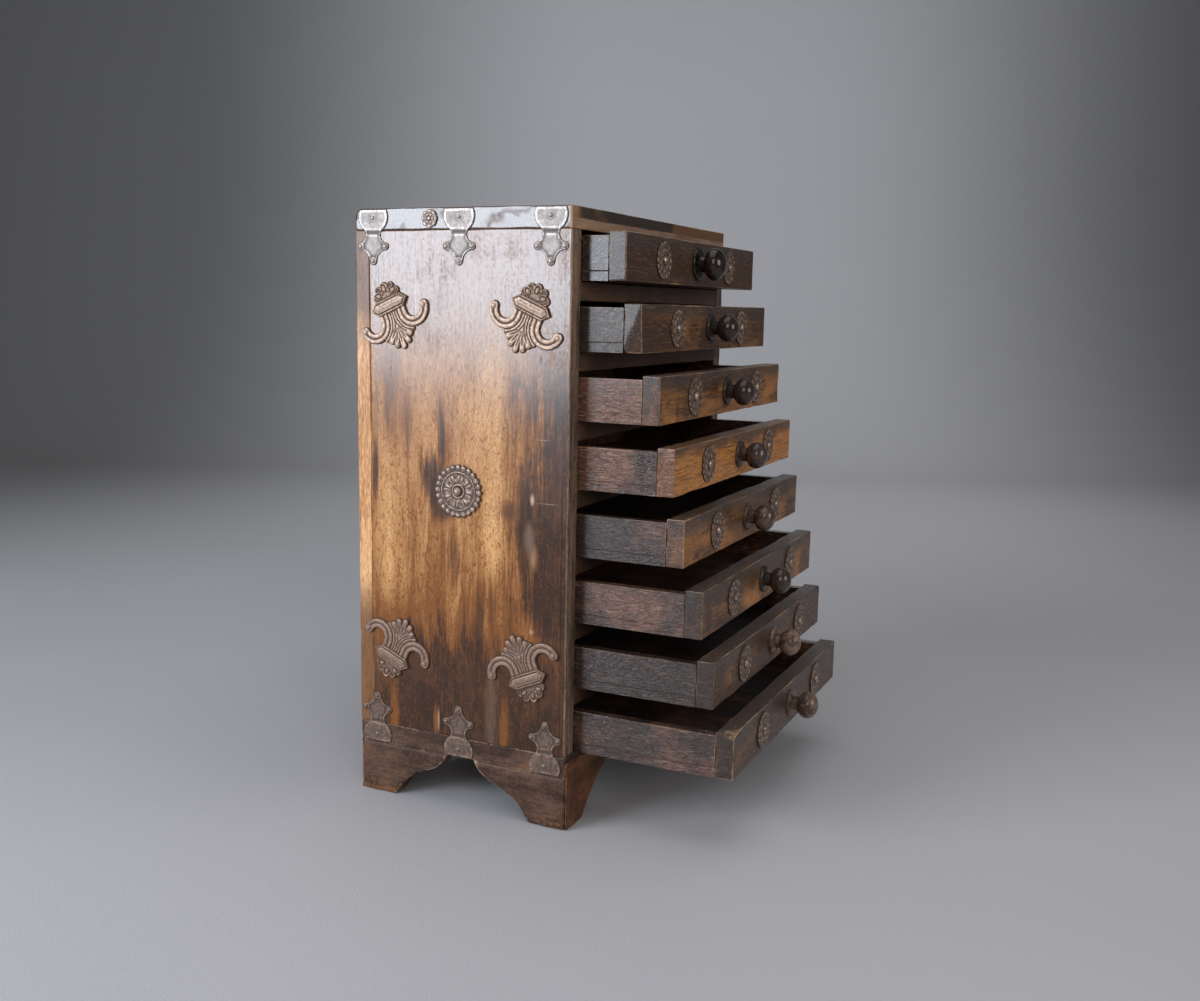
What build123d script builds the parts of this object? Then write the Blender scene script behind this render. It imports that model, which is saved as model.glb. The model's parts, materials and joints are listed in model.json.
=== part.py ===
from build123d import *
import math
import os

# A miniature chest of eight drawers. All sizes are in millimetres, with Z up. The case is built
# about its own middle line (x = 0, y = 0 halfway through its depth, front towards -Y), and
# "placed" shifts it so that the origin lies on the floor under the middle of the whole chest,
# with its drawers standing open in steps.

# ---------------------------------------------------------------- case
case_width = 272.0
case_depth = 160.0
foot_height = 36.3
top_board_thickness = 14.0
bottom_board_thickness = 14.0
side_board_thickness = 12.8
back_board_thickness = 10.7
board_edge_radius = 0.8
top_rear_radius = 5.0
stile_groove_inset = 4.4
stile_groove_width = 0.9
stile_groove_depth = 0.7

# ---------------------------------------------------------------- drawers, from the top one down
drawer_pull = (30.0, 41.0, 54.5, 65.5, 73.0, 86.5, 95.5, 110.0)
drawer_front_height = 30.2
drawer_front_thickness = 12.0
drawer_wall_thickness = 7.0
drawer_bottom_thickness = 6.5
drawer_wall_drop = 2.5
drawer_side_gap = 0.8
drawer_top_gap = 0.8
drawer_run_gap = 0.2
drawer_rear_gap = 2.0

# ---------------------------------------------------------------- rails and runners
rail_height = 12.3
rail_depth = 22.0
rail_setback = 0.6
runner_width = 14.0
runner_thickness = 7.0

# ---------------------------------------------------------------- base
foot_thickness = 12.8
base_front_proud = 1.5
base_lip_height = 10.2
base_lip_chamfer = 1.0
side_foot_toe = 28.5
side_foot_cusp_reach = 52.0
side_foot_cusp_rise = 21.3
side_foot_reach = 71.0
side_foot_bow = 3.0
front_foot_toe = 24.0
front_foot_cusp_reach = 54.0
front_foot_cusp_rise = 25.0
front_foot_reach = 66.0
front_foot_bow = 1.2
apron_depth = 3.3
glue_block_size = 14.0
glue_block_gap = 4.0

# ---------------------------------------------------------------- knobs
knob_diameter = 18.6
top_knob_diameter = 22.0
knob_ball_length = 15.0
knob_flange_thickness = 3.0
knob_neck_length = 2.0
knob_neck_share = 0.52
knob_tenon_diameter = 6.4
tenon_clearance = 0.05

# ---------------------------------------------------------------- rosettes on the drawer fronts
rosette_diameter = 24.6
rosette_rim_width = 2.5
rosette_rim_height = 1.5
rosette_dish_height = 0.9
rosette_boss_diameter = 6.4
rosette_boss_height = 2.8
rosette_spread = 63.5

# ---------------------------------------------------------------- straps and their nails
strap_thickness = 0.9
strap_from_corner = 14.3
strap_edge_gap = 0.6
strap_head_half_width = 11.6
strap_head_top_half_width = 10.4
strap_head_end_half_width = 8.4
strap_head_length = 13.0
strap_waist_half_width = 5.9
strap_waist_drop = 18.0
strap_lobe_spread = 9.6
strap_lobe_drop = 24.4
strap_lobe_radius = 2.6
strap_hollow_half_width = 5.0
strap_tip_drop = 33.6
strap_tip_radius = 3.0
strap_head_nail_drop = 6.0
nail_head_diameter = 3.4
nail_head_height = 1.0
nail_shank_diameter = 1.4
nail_shank_length = 8.0

# ---------------------------------------------------------------- crowned plume mounts
mount_from_corner = 27.3
mount_below_top = 61.8
mount_above_bottom = 63.0
mount_tilt = 23.2
bar_length = 30.0
bar_height = 9.2
bar_shoulder = 4.5
bar_relief = 3.0
crown_radius = 8.2
crown_relief = 2.4
scallop_count = 5
scallop_radius = 3.0
plume_offset = 16.0
plume_drop = 8.4
plume_inner_radius = 5.2
plume_outer_radius = 12.2
plume_relief = 2.0
plume_sweep = 172.0
leaf_stem_width = 10.0
leaf_drop = 20.4
leaf_radius = 7.6
leaf_lobe_count = 5
leaf_lobe_radius = 3.0

# ---------------------------------------------------------------- medallions and band rosettes
medallion_radius = 15.8
medallion_scallop_count = 24
medallion_scallop_radius = 1.9
medallion_plate_height = 1.4
medallion_ring_radius = 13.0
medallion_ring_width = 1.6
medallion_ring_height = 2.2
medallion_boss_radius = 3.0
medallion_boss_height = 4.0
band_rosette_diameter = 11.6
band_rosette_height = 1.8
band_rosette_from_middle = 22.0

# ---------------------------------------------------------------- flush nails of the boards
case_nail_head_diameter = 3.4
case_nail_head_height = 0.8
case_nail_shank_diameter = 1.8
case_nail_grip = 12.0
top_nail_count = 3
back_nail_count = 5
nail_end_margin = 30.0

os.makedirs("parts", exist_ok=True)

# ---------------------------------------------------------------- derived levels and faces
drawer_count = len(drawer_pull)
half_width = case_width / 2
front_y = -case_depth / 2
rear_y = case_depth / 2
back_face_y = rear_y - back_board_thickness
inner_half_width = half_width - side_board_thickness
bottom_top_z = foot_height + bottom_board_thickness
bay_height = drawer_run_gap + drawer_front_height + drawer_top_gap
drawer_pitch = bay_height + rail_height
top_under_z = bottom_top_z + drawer_count * bay_height + (drawer_count - 1) * rail_height
case_height = top_under_z + top_board_thickness
drawer_half_width = inner_half_width - drawer_side_gap
drawer_length = back_face_y - front_y - drawer_rear_gap
knob_ball_start = knob_flange_thickness + knob_neck_length
knob_reach = knob_ball_start + knob_ball_length
foremost_y = front_y - max(drawer_pull) - knob_reach
frame_shift_y = -(rear_y + foremost_y) / 2
side_plane_x = -half_width


def drawer_floor_z(index):
    """Level of the rail or board that a drawer runs on, the top drawer being 0."""
    return bottom_top_z + (drawer_count - 1 - index) * drawer_pitch


def block(low, high):
    """A rectangular solid from one corner to the opposite one."""
    size = [b - a for a, b in zip(low, high)]
    middle = [(a + b) / 2 for a, b in zip(low, high)]
    return Pos(*middle) * Box(*size)


def softened(solid, radius=board_edge_radius):
    """The solid with all its edges rounded, as handled wood is."""
    return fillet(solid.edges(), radius)


def prism(points, low_z, high_z):
    """An upright prism on a polygon given by its x and y corners."""
    return Pos(0, 0, low_z) * extrude(make_face(Polyline(*points, close=True)), high_z - low_z)


def both_sides(shapes):
    """The shapes, then the same shapes on the other side of the chest."""
    return shapes + [shape.mirror(Plane.YZ) for shape in shapes]


def placed(shape):
    """The shape in the chest's own frame."""
    return shape.moved(Location((0, frame_shift_y, 0)))


def save(name, shapes):
    """Write one node, a single solid or a group of separate ones."""
    moved = [placed(shape) for shape in shapes]
    solids = [solid for shape in moved for solid in shape.solids()]
    node = solids[0] if len(solids) == 1 else Compound(children=solids)
    export_step(node, f"parts/{name}.step")


# ================================================================ base
def arch_void(toe, cusp_reach, cusp_rise, reach, crown, bow, span):
    """The open space beside a bracket foot, from its toe out to span.

    The foot's edge is an ogee: a hollow from the toe up to a cusp, then a swelling up to the crown.
    """
    cusp = (cusp_reach, cusp_rise)
    edges = [
        SagittaArc((toe, 0), cusp, bow),
        SagittaArc(cusp, (reach, crown), -bow),
        Polyline((reach, crown), (span, crown), (span, 0), (toe, 0)),
    ]
    return make_face(Curve() + edges)


def corner_wedge(corner_y):
    """The half of the left corner post that belongs to the base board, split by the mitre."""
    inner = (foot_thickness - half_width, corner_y + foot_thickness)
    return prism([(-half_width, corner_y), (inner[0], corner_y), inner], 0, foot_height)


def side_foot(corner_y):
    """One left bracket with its corner at corner_y, mitred where it meets the base board."""
    seat = Plane(origin=(-half_width, corner_y, 0), x_dir=(0, 1, 0), z_dir=(1, 0, 0))
    plate = Pos(side_foot_reach / 2, foot_height / 2) * Rectangle(side_foot_reach, foot_height)
    void = arch_void(
        side_foot_toe,
        side_foot_cusp_reach,
        side_foot_cusp_rise,
        side_foot_reach,
        foot_height,
        side_foot_bow,
        side_foot_reach + foot_thickness,
    )
    foot = seat * extrude(plate - void, foot_thickness)
    return foot - corner_wedge(corner_y)


def base_board(face_y, top_z):
    """A base board in front of the case, with two feet and an arch, mitred to the side brackets."""
    seat = Plane(origin=(0, face_y, 0), x_dir=(1, 0, 0), z_dir=(0, -1, 0))
    outline = Pos(0, top_z / 2) * Rectangle(case_width, top_z)
    void = Pos(-half_width, 0) * arch_void(
        front_foot_toe,
        front_foot_cusp_reach,
        front_foot_cusp_rise,
        front_foot_reach,
        foot_height - apron_depth,
        front_foot_bow,
        half_width,
    )
    outline = outline - void - void.mirror(Plane.YZ)
    board = seat * extrude(outline, -foot_thickness)
    post = block(
        (-half_width, face_y, 0), (foot_thickness - half_width, face_y + foot_thickness, foot_height)
    )
    waste = post - corner_wedge(face_y)
    return board - waste - waste.mirror(Plane.YZ)


base_face_y = front_y - base_front_proud
base_front = base_board(base_face_y, foot_height + base_lip_height)
lip_edge = base_front.edges().filter_by(Axis.X).group_by(Axis.Z)[-1].sort_by(Axis.Y)[0]
base_front = chamfer(lip_edge, base_lip_chamfer)
base_rear = base_board(front_y, foot_height).mirror(Plane.XZ)
left_feet = [side_foot(base_face_y), side_foot(front_y).mirror(Plane.XZ)]

glue_block = block(
    (-inner_half_width, base_face_y + foot_thickness, glue_block_gap),
    (-inner_half_width + glue_block_size, base_face_y + foot_thickness + glue_block_size, foot_height),
)
rear_glue_block = Pos(0, front_y - base_face_y, 0) * glue_block
glue_blocks = both_sides([glue_block, rear_glue_block.mirror(Plane.XZ)])


# ================================================================ boards of the case
def board_profile(depth, height, rear_top_radius):
    """A board's end outline, its edges rounded and its rear top corner worn rounder."""
    outline = Pos(0, height / 2) * Rectangle(depth, height)
    rear_top = outline.vertices().group_by(Axis.Y)[-1].sort_by(Axis.X)[-1]
    outline = fillet(rear_top, rear_top_radius)
    front_corners = outline.vertices().group_by(Axis.X)[0]
    rear_bottom = outline.vertices().group_by(Axis.Y)[0].sort_by(Axis.X)[-1]
    return fillet([*front_corners, rear_bottom], board_edge_radius)


def end_board(low_z, height, rear_top_radius):
    """The top or the bottom board, which both cover the side boards' ends."""
    seat = Plane(origin=(-half_width, 0, low_z), x_dir=(0, 1, 0), z_dir=(1, 0, 0))
    board = seat * extrude(board_profile(case_depth, height, rear_top_radius), case_width)
    return fillet(board.faces().filter_by(Axis.X).edges(), board_edge_radius)


top_board = end_board(top_under_z, top_board_thickness, top_rear_radius)
bottom_board = end_board(foot_height, bottom_board_thickness, board_edge_radius) - base_front

side_board = block((-half_width, front_y, bottom_top_z), (-inner_half_width, back_face_y, top_under_z))
stile_edges = side_board.edges().filter_by(Axis.Z).group_by(Axis.Y)[0]
side_board = fillet(stile_edges, board_edge_radius)
stile_groove = block(
    (-half_width + stile_groove_inset, front_y - stile_groove_depth, bottom_top_z),
    (-half_width + stile_groove_inset + stile_groove_width, front_y + stile_groove_depth, top_under_z),
)
side_board = side_board - stile_groove

back_board = block((-half_width, back_face_y, bottom_top_z), (half_width, rear_y, top_under_z))
back_board = fillet(back_board.edges().filter_by(Axis.Z), board_edge_radius)

rails = []
runners = []
for index in range(drawer_count - 1):
    top_z = drawer_floor_z(index)
    rail = block(
        (-inner_half_width, front_y + rail_setback, top_z - rail_height),
        (inner_half_width, front_y + rail_setback + rail_depth, top_z),
    )
    front_edges = rail.faces().sort_by(Axis.Y)[0].edges().filter_by(Axis.X)
    rails.append(fillet(front_edges, board_edge_radius))
    runner = block(
        (-inner_half_width, front_y + rail_setback + rail_depth, top_z - runner_thickness),
        (-inner_half_width + runner_width, back_face_y, top_z),
    )
    runners.append(runner)
runners = both_sides(runners)


# ================================================================ nails and pins
def nail(head_diameter, head_height, shank_diameter, shank_length):
    """A round-headed nail, driven along -Z, with the underside of its head at z = 0."""
    radius = head_diameter / 2
    dome_radius = (radius**2 + head_height**2) / (2 * head_height)
    ball = Pos(0, 0, head_height - dome_radius) * Sphere(dome_radius)
    head = ball & block((-radius, -radius, 0), (radius, radius, head_height))
    shank = Pos(0, 0, -shank_length / 2) * Cylinder(shank_diameter / 2, shank_length)
    return head + shank


def nail_hole(shank_diameter, shank_length, above):
    """The hole that a nail's shank fills, opened upwards by above."""
    length = shank_length + above
    return Pos(0, 0, above - length / 2) * Cylinder(shank_diameter / 2, length)


def on_left_side(y, z, proud=0.0):
    """A seat on the left face: its X runs to the front, its Y up and its Z outwards."""
    return Plane(origin=(side_plane_x - proud, y, z), x_dir=(0, -1, 0), z_dir=(-1, 0, 0))


# ================================================================ straps
def strap_outline():
    """A stamped strap: a round head, a waist, two side lobes and a tip. Its Y falls from the edge."""
    head_edge = (strap_head_top_half_width, -strap_edge_gap)
    head_end = (strap_head_end_half_width, -strap_head_length)
    lobe_start = (strap_lobe_spread, strap_lobe_radius - strap_lobe_drop)
    lobe_end = (strap_lobe_spread, -strap_lobe_radius - strap_lobe_drop)
    hollow = (strap_hollow_half_width, -(strap_lobe_drop + strap_tip_drop) / 2)
    tip_side = (strap_tip_radius, -strap_tip_drop)
    half = Curve() + [
        Line((0, -strap_edge_gap), head_edge),
        ThreePointArc(head_edge, (strap_head_half_width, -strap_head_nail_drop), head_end),
        ThreePointArc(head_end, (strap_waist_half_width, -strap_waist_drop), lobe_start),
        ThreePointArc(lobe_start, (strap_lobe_spread + strap_lobe_radius, -strap_lobe_drop), lobe_end),
        ThreePointArc(lobe_end, hollow, tip_side),
        CenterArc((0, -strap_tip_drop), strap_tip_radius, -90, 90),
    ]
    return make_face(half + half.mirror(Plane.YZ))


strap_nail_places = [
    (0, -strap_head_nail_drop),
    (-strap_lobe_spread, -strap_lobe_drop),
    (strap_lobe_spread, -strap_lobe_drop),
    (0, -strap_tip_drop),
]
tack = nail(nail_head_diameter, nail_head_height, nail_shank_diameter, nail_shank_length)
strap_tack_bore = nail_hole(nail_shank_diameter, nail_shank_length, strap_thickness)
strap_plate = extrude(strap_outline(), strap_thickness)
for place in strap_nail_places:
    strap_plate = strap_plate - Pos(*place, strap_thickness) * strap_tack_bore

turn_over = Plane.XY.offset((case_height + foot_height) / 2)
top_straps = []
top_strap_nails = []
top_strap_bores = []
for y in (front_y + strap_from_corner, 0, rear_y - strap_from_corner):
    seat = on_left_side(y, case_height)
    nail_seat = on_left_side(y, case_height, strap_thickness)
    top_straps.append(seat * strap_plate)
    for place in strap_nail_places:
        top_strap_nails.append(nail_seat * Pos(*place) * tack)
        top_strap_bores.append(nail_seat * Pos(*place) * strap_tack_bore)
bottom_straps = [strap.mirror(turn_over) for strap in top_straps]
bottom_strap_nails = [item.mirror(turn_over) for item in top_strap_nails]
bottom_strap_bores = [item.mirror(turn_over) for item in top_strap_bores]


# ================================================================ crowned plume mounts
def plume():
    """The right plume: a ribbon that leaves the bar, curls outwards and ends in a round tip."""
    middle = (plume_offset, -plume_drop)
    outer = CenterArc(middle, plume_outer_radius, 180, plume_sweep)
    inner = CenterArc(middle, plume_inner_radius, 180, plume_sweep)
    ribbon = make_face(Curve() + [outer, inner, Line(outer @ 0, inner @ 0), Line(outer @ 1, inner @ 1)])
    tip = Pos((outer @ 1 + inner @ 1) / 2) * Circle((plume_outer_radius - plume_inner_radius) / 2)
    return ribbon + tip


def crowned_mount():
    """A stamped mount, upright about its bar: a scalloped crown above, two plumes and a leaf below."""
    half_bar = bar_length / 2
    shoulder = half_bar - bar_shoulder
    half_height = bar_height / 2
    corners = [
        (half_bar, 0),
        (shoulder, half_height),
        (-shoulder, half_height),
        (-half_bar, 0),
        (-shoulder, -half_height),
        (shoulder, -half_height),
    ]
    bar = extrude(make_face(Polyline(*corners, close=True)), bar_relief)
    crown = Pos(0, half_height) * Circle(crown_radius)
    for number in range(scallop_count):
        angle = math.radians(180 * (number + 0.5) / scallop_count)
        centre = (crown_radius * math.cos(angle), half_height + crown_radius * math.sin(angle))
        crown = crown + Pos(*centre) * Circle(scallop_radius)
    neck_width = 2 * (plume_offset - plume_inner_radius)
    stem = Pos(0, -plume_drop / 2) * Rectangle(neck_width, plume_drop)
    leaf_stem = Pos(0, -(plume_drop + leaf_drop) / 2) * Rectangle(leaf_stem_width, leaf_drop - plume_drop)
    leaf = Pos(0, -leaf_drop) * Circle(leaf_radius)
    for number in range(leaf_lobe_count):
        angle = math.radians(-180 * (number + 0.5) / leaf_lobe_count)
        centre = (leaf_radius * math.cos(angle), -leaf_drop + leaf_radius * math.sin(angle))
        leaf = leaf + Pos(*centre) * Circle(leaf_lobe_radius)
    right_plume = plume()
    lower = stem + leaf_stem + leaf + right_plume + right_plume.mirror(Plane.YZ)
    return bar + extrude(crown, crown_relief) + extrude(lower, plume_relief)


plume_tip_radius = (plume_outer_radius + plume_inner_radius) / 2
plume_tip_angle = math.radians(180 + plume_sweep)
plume_tip = (
    plume_offset + plume_tip_radius * math.cos(plume_tip_angle),
    -plume_drop + plume_tip_radius * math.sin(plume_tip_angle),
)
mount_pin_places = [plume_tip, (-plume_tip[0], plume_tip[1])]
mount_pin_bore = nail_hole(nail_shank_diameter, nail_shank_length, plume_relief)
mount_shape = crowned_mount()
for place in mount_pin_places:
    mount_shape = mount_shape - Pos(*place, plume_relief) * mount_pin_bore

upper_mount_z = case_height - mount_below_top
lower_mount_z = foot_height + mount_above_bottom
medallion_z = (upper_mount_z + lower_mount_z) / 2
mount_seat = on_left_side(rear_y - mount_from_corner, upper_mount_z) * Rot(0, 0, mount_tilt)


def four_fold(shapes):
    """The shapes of the left side's upper rear mount, repeated at all four of its mounts."""
    rear = shapes + [shape.mirror(Plane.XY.offset(medallion_z)) for shape in shapes]
    return rear + [shape.mirror(Plane.XZ) for shape in rear]


left_mounts = four_fold([mount_seat * mount_shape])
mount_pins = four_fold([mount_seat * Pos(*place, plume_relief) * tack for place in mount_pin_places])
mount_pin_bores = four_fold(
    [mount_seat * Pos(*place, plume_relief) * mount_pin_bore for place in mount_pin_places]
)


# ================================================================ medallions and rosettes
def medallion():
    """A round stamped plate with a scalloped rim, a raised ring and a boss."""
    rim = Circle(medallion_radius)
    for number in range(medallion_scallop_count):
        angle = math.radians(360 * number / medallion_scallop_count)
        centre = (medallion_radius * math.cos(angle), medallion_radius * math.sin(angle))
        rim = rim + Pos(*centre) * Circle(medallion_scallop_radius)
    ring = Circle(medallion_ring_radius) - Circle(medallion_ring_radius - medallion_ring_width)
    plate = extrude(rim, medallion_plate_height) + extrude(ring, medallion_ring_height)
    return plate + extrude(Circle(medallion_boss_radius), medallion_boss_height)


def rosette():
    """A small round stamping with a raised rim and a boss, its axis along Z."""
    radius = rosette_diameter / 2
    rim = Circle(radius) - Circle(radius - rosette_rim_width)
    plate = extrude(Circle(radius), rosette_dish_height) + extrude(rim, rosette_rim_height)
    return plate + extrude(Circle(rosette_boss_diameter / 2), rosette_boss_height)


side_medallion = on_left_side(0, medallion_z) * medallion()
band_z = case_height - top_board_thickness / 2
band_rosette = on_left_side(band_rosette_from_middle, band_z) * extrude(
    Circle(band_rosette_diameter / 2), band_rosette_height
)


# ================================================================ flush nails of the boards
def flush_nail(seat, board_thickness):
    """A nail let in flush at a seat whose Z leaves the wood, through one board and into the next."""
    head = Pos(0, 0, -case_nail_head_height / 2) * Cylinder(
        case_nail_head_diameter / 2, case_nail_head_height
    )
    length = board_thickness + case_nail_grip
    shank = Pos(0, 0, -length / 2) * Cylinder(case_nail_shank_diameter / 2, length)
    return seat * (head + shank)


def spread(start, end, count):
    """Places evenly spaced from start to end."""
    return [start + (end - start) * number / (count - 1) for number in range(count)]


side_middle_x = -half_width + side_board_thickness / 2
left_case_nails = []
for y in spread(front_y + nail_end_margin, back_face_y - nail_end_margin, top_nail_count):
    seat = Plane(origin=(side_middle_x, y, case_height), x_dir=(1, 0, 0), z_dir=(0, 0, 1))
    left_case_nails.append(flush_nail(seat, top_board_thickness))
for z in spread(bottom_top_z + nail_end_margin, top_under_z - nail_end_margin, back_nail_count):
    seat = Plane(origin=(side_middle_x, rear_y, z), x_dir=(1, 0, 0), z_dir=(0, 1, 0))
    left_case_nails.append(flush_nail(seat, back_board_thickness))

left_bores = top_strap_bores + bottom_strap_bores + mount_pin_bores + left_case_nails
all_bores = both_sides(left_bores)
top_board = top_board - all_bores
bottom_board = bottom_board - all_bores
back_board = back_board - all_bores
side_board = side_board - left_bores


# ================================================================ drawers
def knob(diameter):
    """A turned knob along -Y from the drawer's face: tenon, flange, neck and a slightly flat ball."""
    radius = diameter / 2
    neck = knob_neck_share * radius
    tenon = knob_tenon_diameter / 2
    half_ball = knob_ball_length / 2
    ball_middle = half_ball - knob_reach
    start = math.degrees(math.acos(neck / radius))
    neck_y = ball_middle + half_ball * math.sin(math.radians(start))
    profile = [
        (0, -knob_reach),
        (0, drawer_front_thickness),
        (tenon, drawer_front_thickness),
        (tenon, 0),
        (radius, 0),
        (radius, -knob_flange_thickness / 2),
        (neck, -knob_flange_thickness),
        (neck, neck_y),
    ]
    ball = EllipticalCenterArc((0, ball_middle), radius, half_ball, 270, arc_size=90 + start)
    return revolve(make_face(Curve() + [Polyline(*profile), ball]), Axis.Y)


drawer_rosette = rosette()

for index in range(drawer_count):
    name = f"drawer_{index + 1}"
    low_z = drawer_floor_z(index) + drawer_run_gap
    high_z = low_z + drawer_front_height
    face_y = front_y - drawer_pull[index]
    inner_y = face_y + drawer_front_thickness
    end_y = face_y + drawer_length
    floor_z = low_z + drawer_bottom_thickness
    wall_top_z = high_z - drawer_wall_drop
    middle_z = (low_z + high_z) / 2

    front = block((-drawer_half_width, face_y, low_z), (drawer_half_width, inner_y, high_z))
    front = softened(front)
    tenon_hole = Cylinder(knob_tenon_diameter / 2 + tenon_clearance, 4 * drawer_front_thickness)
    front = front - Pos(0, face_y, middle_z) * Rot(90, 0, 0) * tenon_hole
    save(f"{name}_front", [front])

    side_wall = block(
        (-drawer_half_width, inner_y, floor_z),
        (-drawer_half_width + drawer_wall_thickness, end_y, wall_top_z),
    )
    rear_wall = block(
        (-drawer_half_width + drawer_wall_thickness, end_y - drawer_wall_thickness, floor_z),
        (drawer_half_width - drawer_wall_thickness, end_y, wall_top_z),
    )
    save(f"{name}_walls", both_sides([side_wall]) + [rear_wall])

    drawer_bottom = block((-drawer_half_width, inner_y, low_z), (drawer_half_width, end_y, floor_z))
    save(f"{name}_bottom", [drawer_bottom])

    diameter = top_knob_diameter if index == 0 else knob_diameter
    save(f"{name}_knob", [Pos(0, face_y, middle_z) * knob(diameter)])

    seat = Plane(origin=(-rosette_spread, face_y, middle_z), x_dir=(1, 0, 0), z_dir=(0, -1, 0))
    save(f"{name}_rosettes", both_sides([seat * drawer_rosette]))

# ================================================================ case nodes
save("top_board", [top_board])
save("bottom_board", [bottom_board])
save("left_side_board", [side_board])
save("right_side_board", [side_board.mirror(Plane.YZ)])
save("back_board", [back_board])
save("drawer_rails", rails)
save("drawer_runners", runners)
save("base_front", [base_front])
save("base_rear", [base_rear])
save("side_feet", both_sides(left_feet))
save("glue_blocks", glue_blocks)
save("top_straps", both_sides(top_straps))
save("bottom_straps", both_sides(bottom_straps))
save("strap_nails", both_sides(top_strap_nails + bottom_strap_nails))
save("left_plume_mounts", left_mounts)
save("right_plume_mounts", [mount.mirror(Plane.YZ) for mount in left_mounts])
save("mount_pins", both_sides(mount_pins))
save("side_medallions", both_sides([side_medallion]))
save("band_rosettes", both_sides([band_rosette]))
save("case_nails", both_sides(left_case_nails))
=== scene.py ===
# %% [markdown]
# # A miniature chest of eight drawers
# An old table-top chest: a narrow case of dark, worn boards on bracket feet, with eight shallow
# drawers standing open in steps, and stamped brass tacked all over it. The engineering model is
# loaded first and never changed. Boards, knobs and stampings are made again as finer meshes in
# the same places, because the real ones have worn edges, turned curves and relief.

# %% Load the frame
import json
import math

import bmesh
import bpy
import numpy as np
from mathutils import Matrix, Vector

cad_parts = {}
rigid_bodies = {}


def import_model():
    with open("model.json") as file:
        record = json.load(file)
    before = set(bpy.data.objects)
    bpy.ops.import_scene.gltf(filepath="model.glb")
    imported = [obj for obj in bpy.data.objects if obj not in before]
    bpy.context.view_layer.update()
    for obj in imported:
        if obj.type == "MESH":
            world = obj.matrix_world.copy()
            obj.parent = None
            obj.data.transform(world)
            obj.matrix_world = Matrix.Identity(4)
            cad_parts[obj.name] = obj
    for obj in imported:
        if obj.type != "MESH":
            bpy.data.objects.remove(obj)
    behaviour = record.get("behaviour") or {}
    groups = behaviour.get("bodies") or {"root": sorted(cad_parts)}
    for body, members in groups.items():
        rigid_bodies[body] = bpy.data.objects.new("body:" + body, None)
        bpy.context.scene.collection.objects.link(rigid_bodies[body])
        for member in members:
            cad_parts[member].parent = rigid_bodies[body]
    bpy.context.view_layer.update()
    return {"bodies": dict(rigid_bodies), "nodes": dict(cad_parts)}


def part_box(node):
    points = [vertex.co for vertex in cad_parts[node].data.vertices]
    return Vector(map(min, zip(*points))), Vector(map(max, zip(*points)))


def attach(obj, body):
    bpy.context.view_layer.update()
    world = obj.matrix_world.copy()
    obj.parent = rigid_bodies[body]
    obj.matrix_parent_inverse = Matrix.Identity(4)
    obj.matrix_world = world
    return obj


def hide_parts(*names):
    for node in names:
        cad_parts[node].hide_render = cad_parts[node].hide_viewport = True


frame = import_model()
mm = 0.001
drawer_names = sorted(name for name in frame["bodies"] if name.startswith("drawer"))

# %% [markdown]
# ## The case's own planes
# Every later cell places its work by the case's left face, front, middle and top. They are read
# from the boxes of the loaded nodes, so that nothing is typed twice.

# %% Read the planes of the case
def corners_of(node):
    """The low and the high corner of a node's box, as arrays."""
    return [np.array(corner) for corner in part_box(node)]


top_low, top_high = corners_of("top_board")
left_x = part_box("left_side_board")[0][0]
front_y = top_low[1]
rear_y = top_high[1]
middle_y = (front_y + rear_y) / 2
case_top_z = top_high[2]
foot_top_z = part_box("bottom_board")[0][2]
print("left face x", round(left_x, 4), "top z", round(case_top_z, 4))

# %% [markdown]
# ## Writing node maths as Python
# A material is a graph of small nodes. Wiring dozens of them by hand hides the idea, so a tiny
# class stands for one output socket and lets it be added or multiplied like a number. Names
# such as __rsub__ serve where the plain number comes first, as in 1 - mask.

# %% One output socket as a value
def operator(operation, swapped=False):
    """A method of Pattern that makes one Math node."""

    def method(self, other=0):
        pair = (other, self) if swapped else (self, other)
        return self.graph.maths(operation, *pair)

    return method


class Pattern:
    """One output of a node, which Python's operators turn into Math nodes."""

    def __init__(self, graph, socket):
        self.graph = graph
        self.socket = socket

    __add__ = __radd__ = operator("ADD")
    __mul__ = __rmul__ = operator("MULTIPLY")
    __sub__ = operator("SUBTRACT")
    __rsub__ = operator("SUBTRACT", swapped=True)
    __truediv__ = operator("DIVIDE")
    __pow__ = operator("POWER")
    __abs__ = operator("ABSOLUTE")
    least = operator("MINIMUM")
    most = operator("MAXIMUM")


print("socket maths ready")

# %% [markdown]
# ## Making any node in one line
# A second class holds the tree and makes any node from its type, its settings and the values or
# links of its sockets. It serves Geometry Nodes too, later on.

# %% A node tree in Python
class Graph:
    """A node tree that is written in Python."""

    def __init__(self, tree):
        self.tree = tree

    def node(self, kind, settings=None, inputs=None, output=0):
        """Any node, by its settings and the values or links of its sockets."""
        made = self.tree.nodes.new(kind)
        for key, value in (settings or {}).items():
            setattr(made, key, value)
        for key, value in (inputs or {}).items():
            self.feed(made.inputs[key], value)
        return Pattern(self, made.outputs[output])

    def feed(self, socket, value):
        """Link a pattern to a socket, or set the socket's own value."""
        if isinstance(value, Pattern):
            self.tree.links.new(value.socket, socket)
        elif isinstance(value, tuple) and len(value) == 3 and socket.type == "RGBA":
            socket.default_value = (*value, 1)
        else:
            socket.default_value = value

    def maths(self, operation, first, second=0):
        return self.node("ShaderNodeMath", {"operation": operation}, {0: first, 1: second})


print("node trees ready")

# %% [markdown]
# ## A finish round one shader
# Every finish here is one Principled shader. Its patterns are noises in the piece's own metres,
# so they stay put when a drawer slides, and their scales are features per metre.

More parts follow.
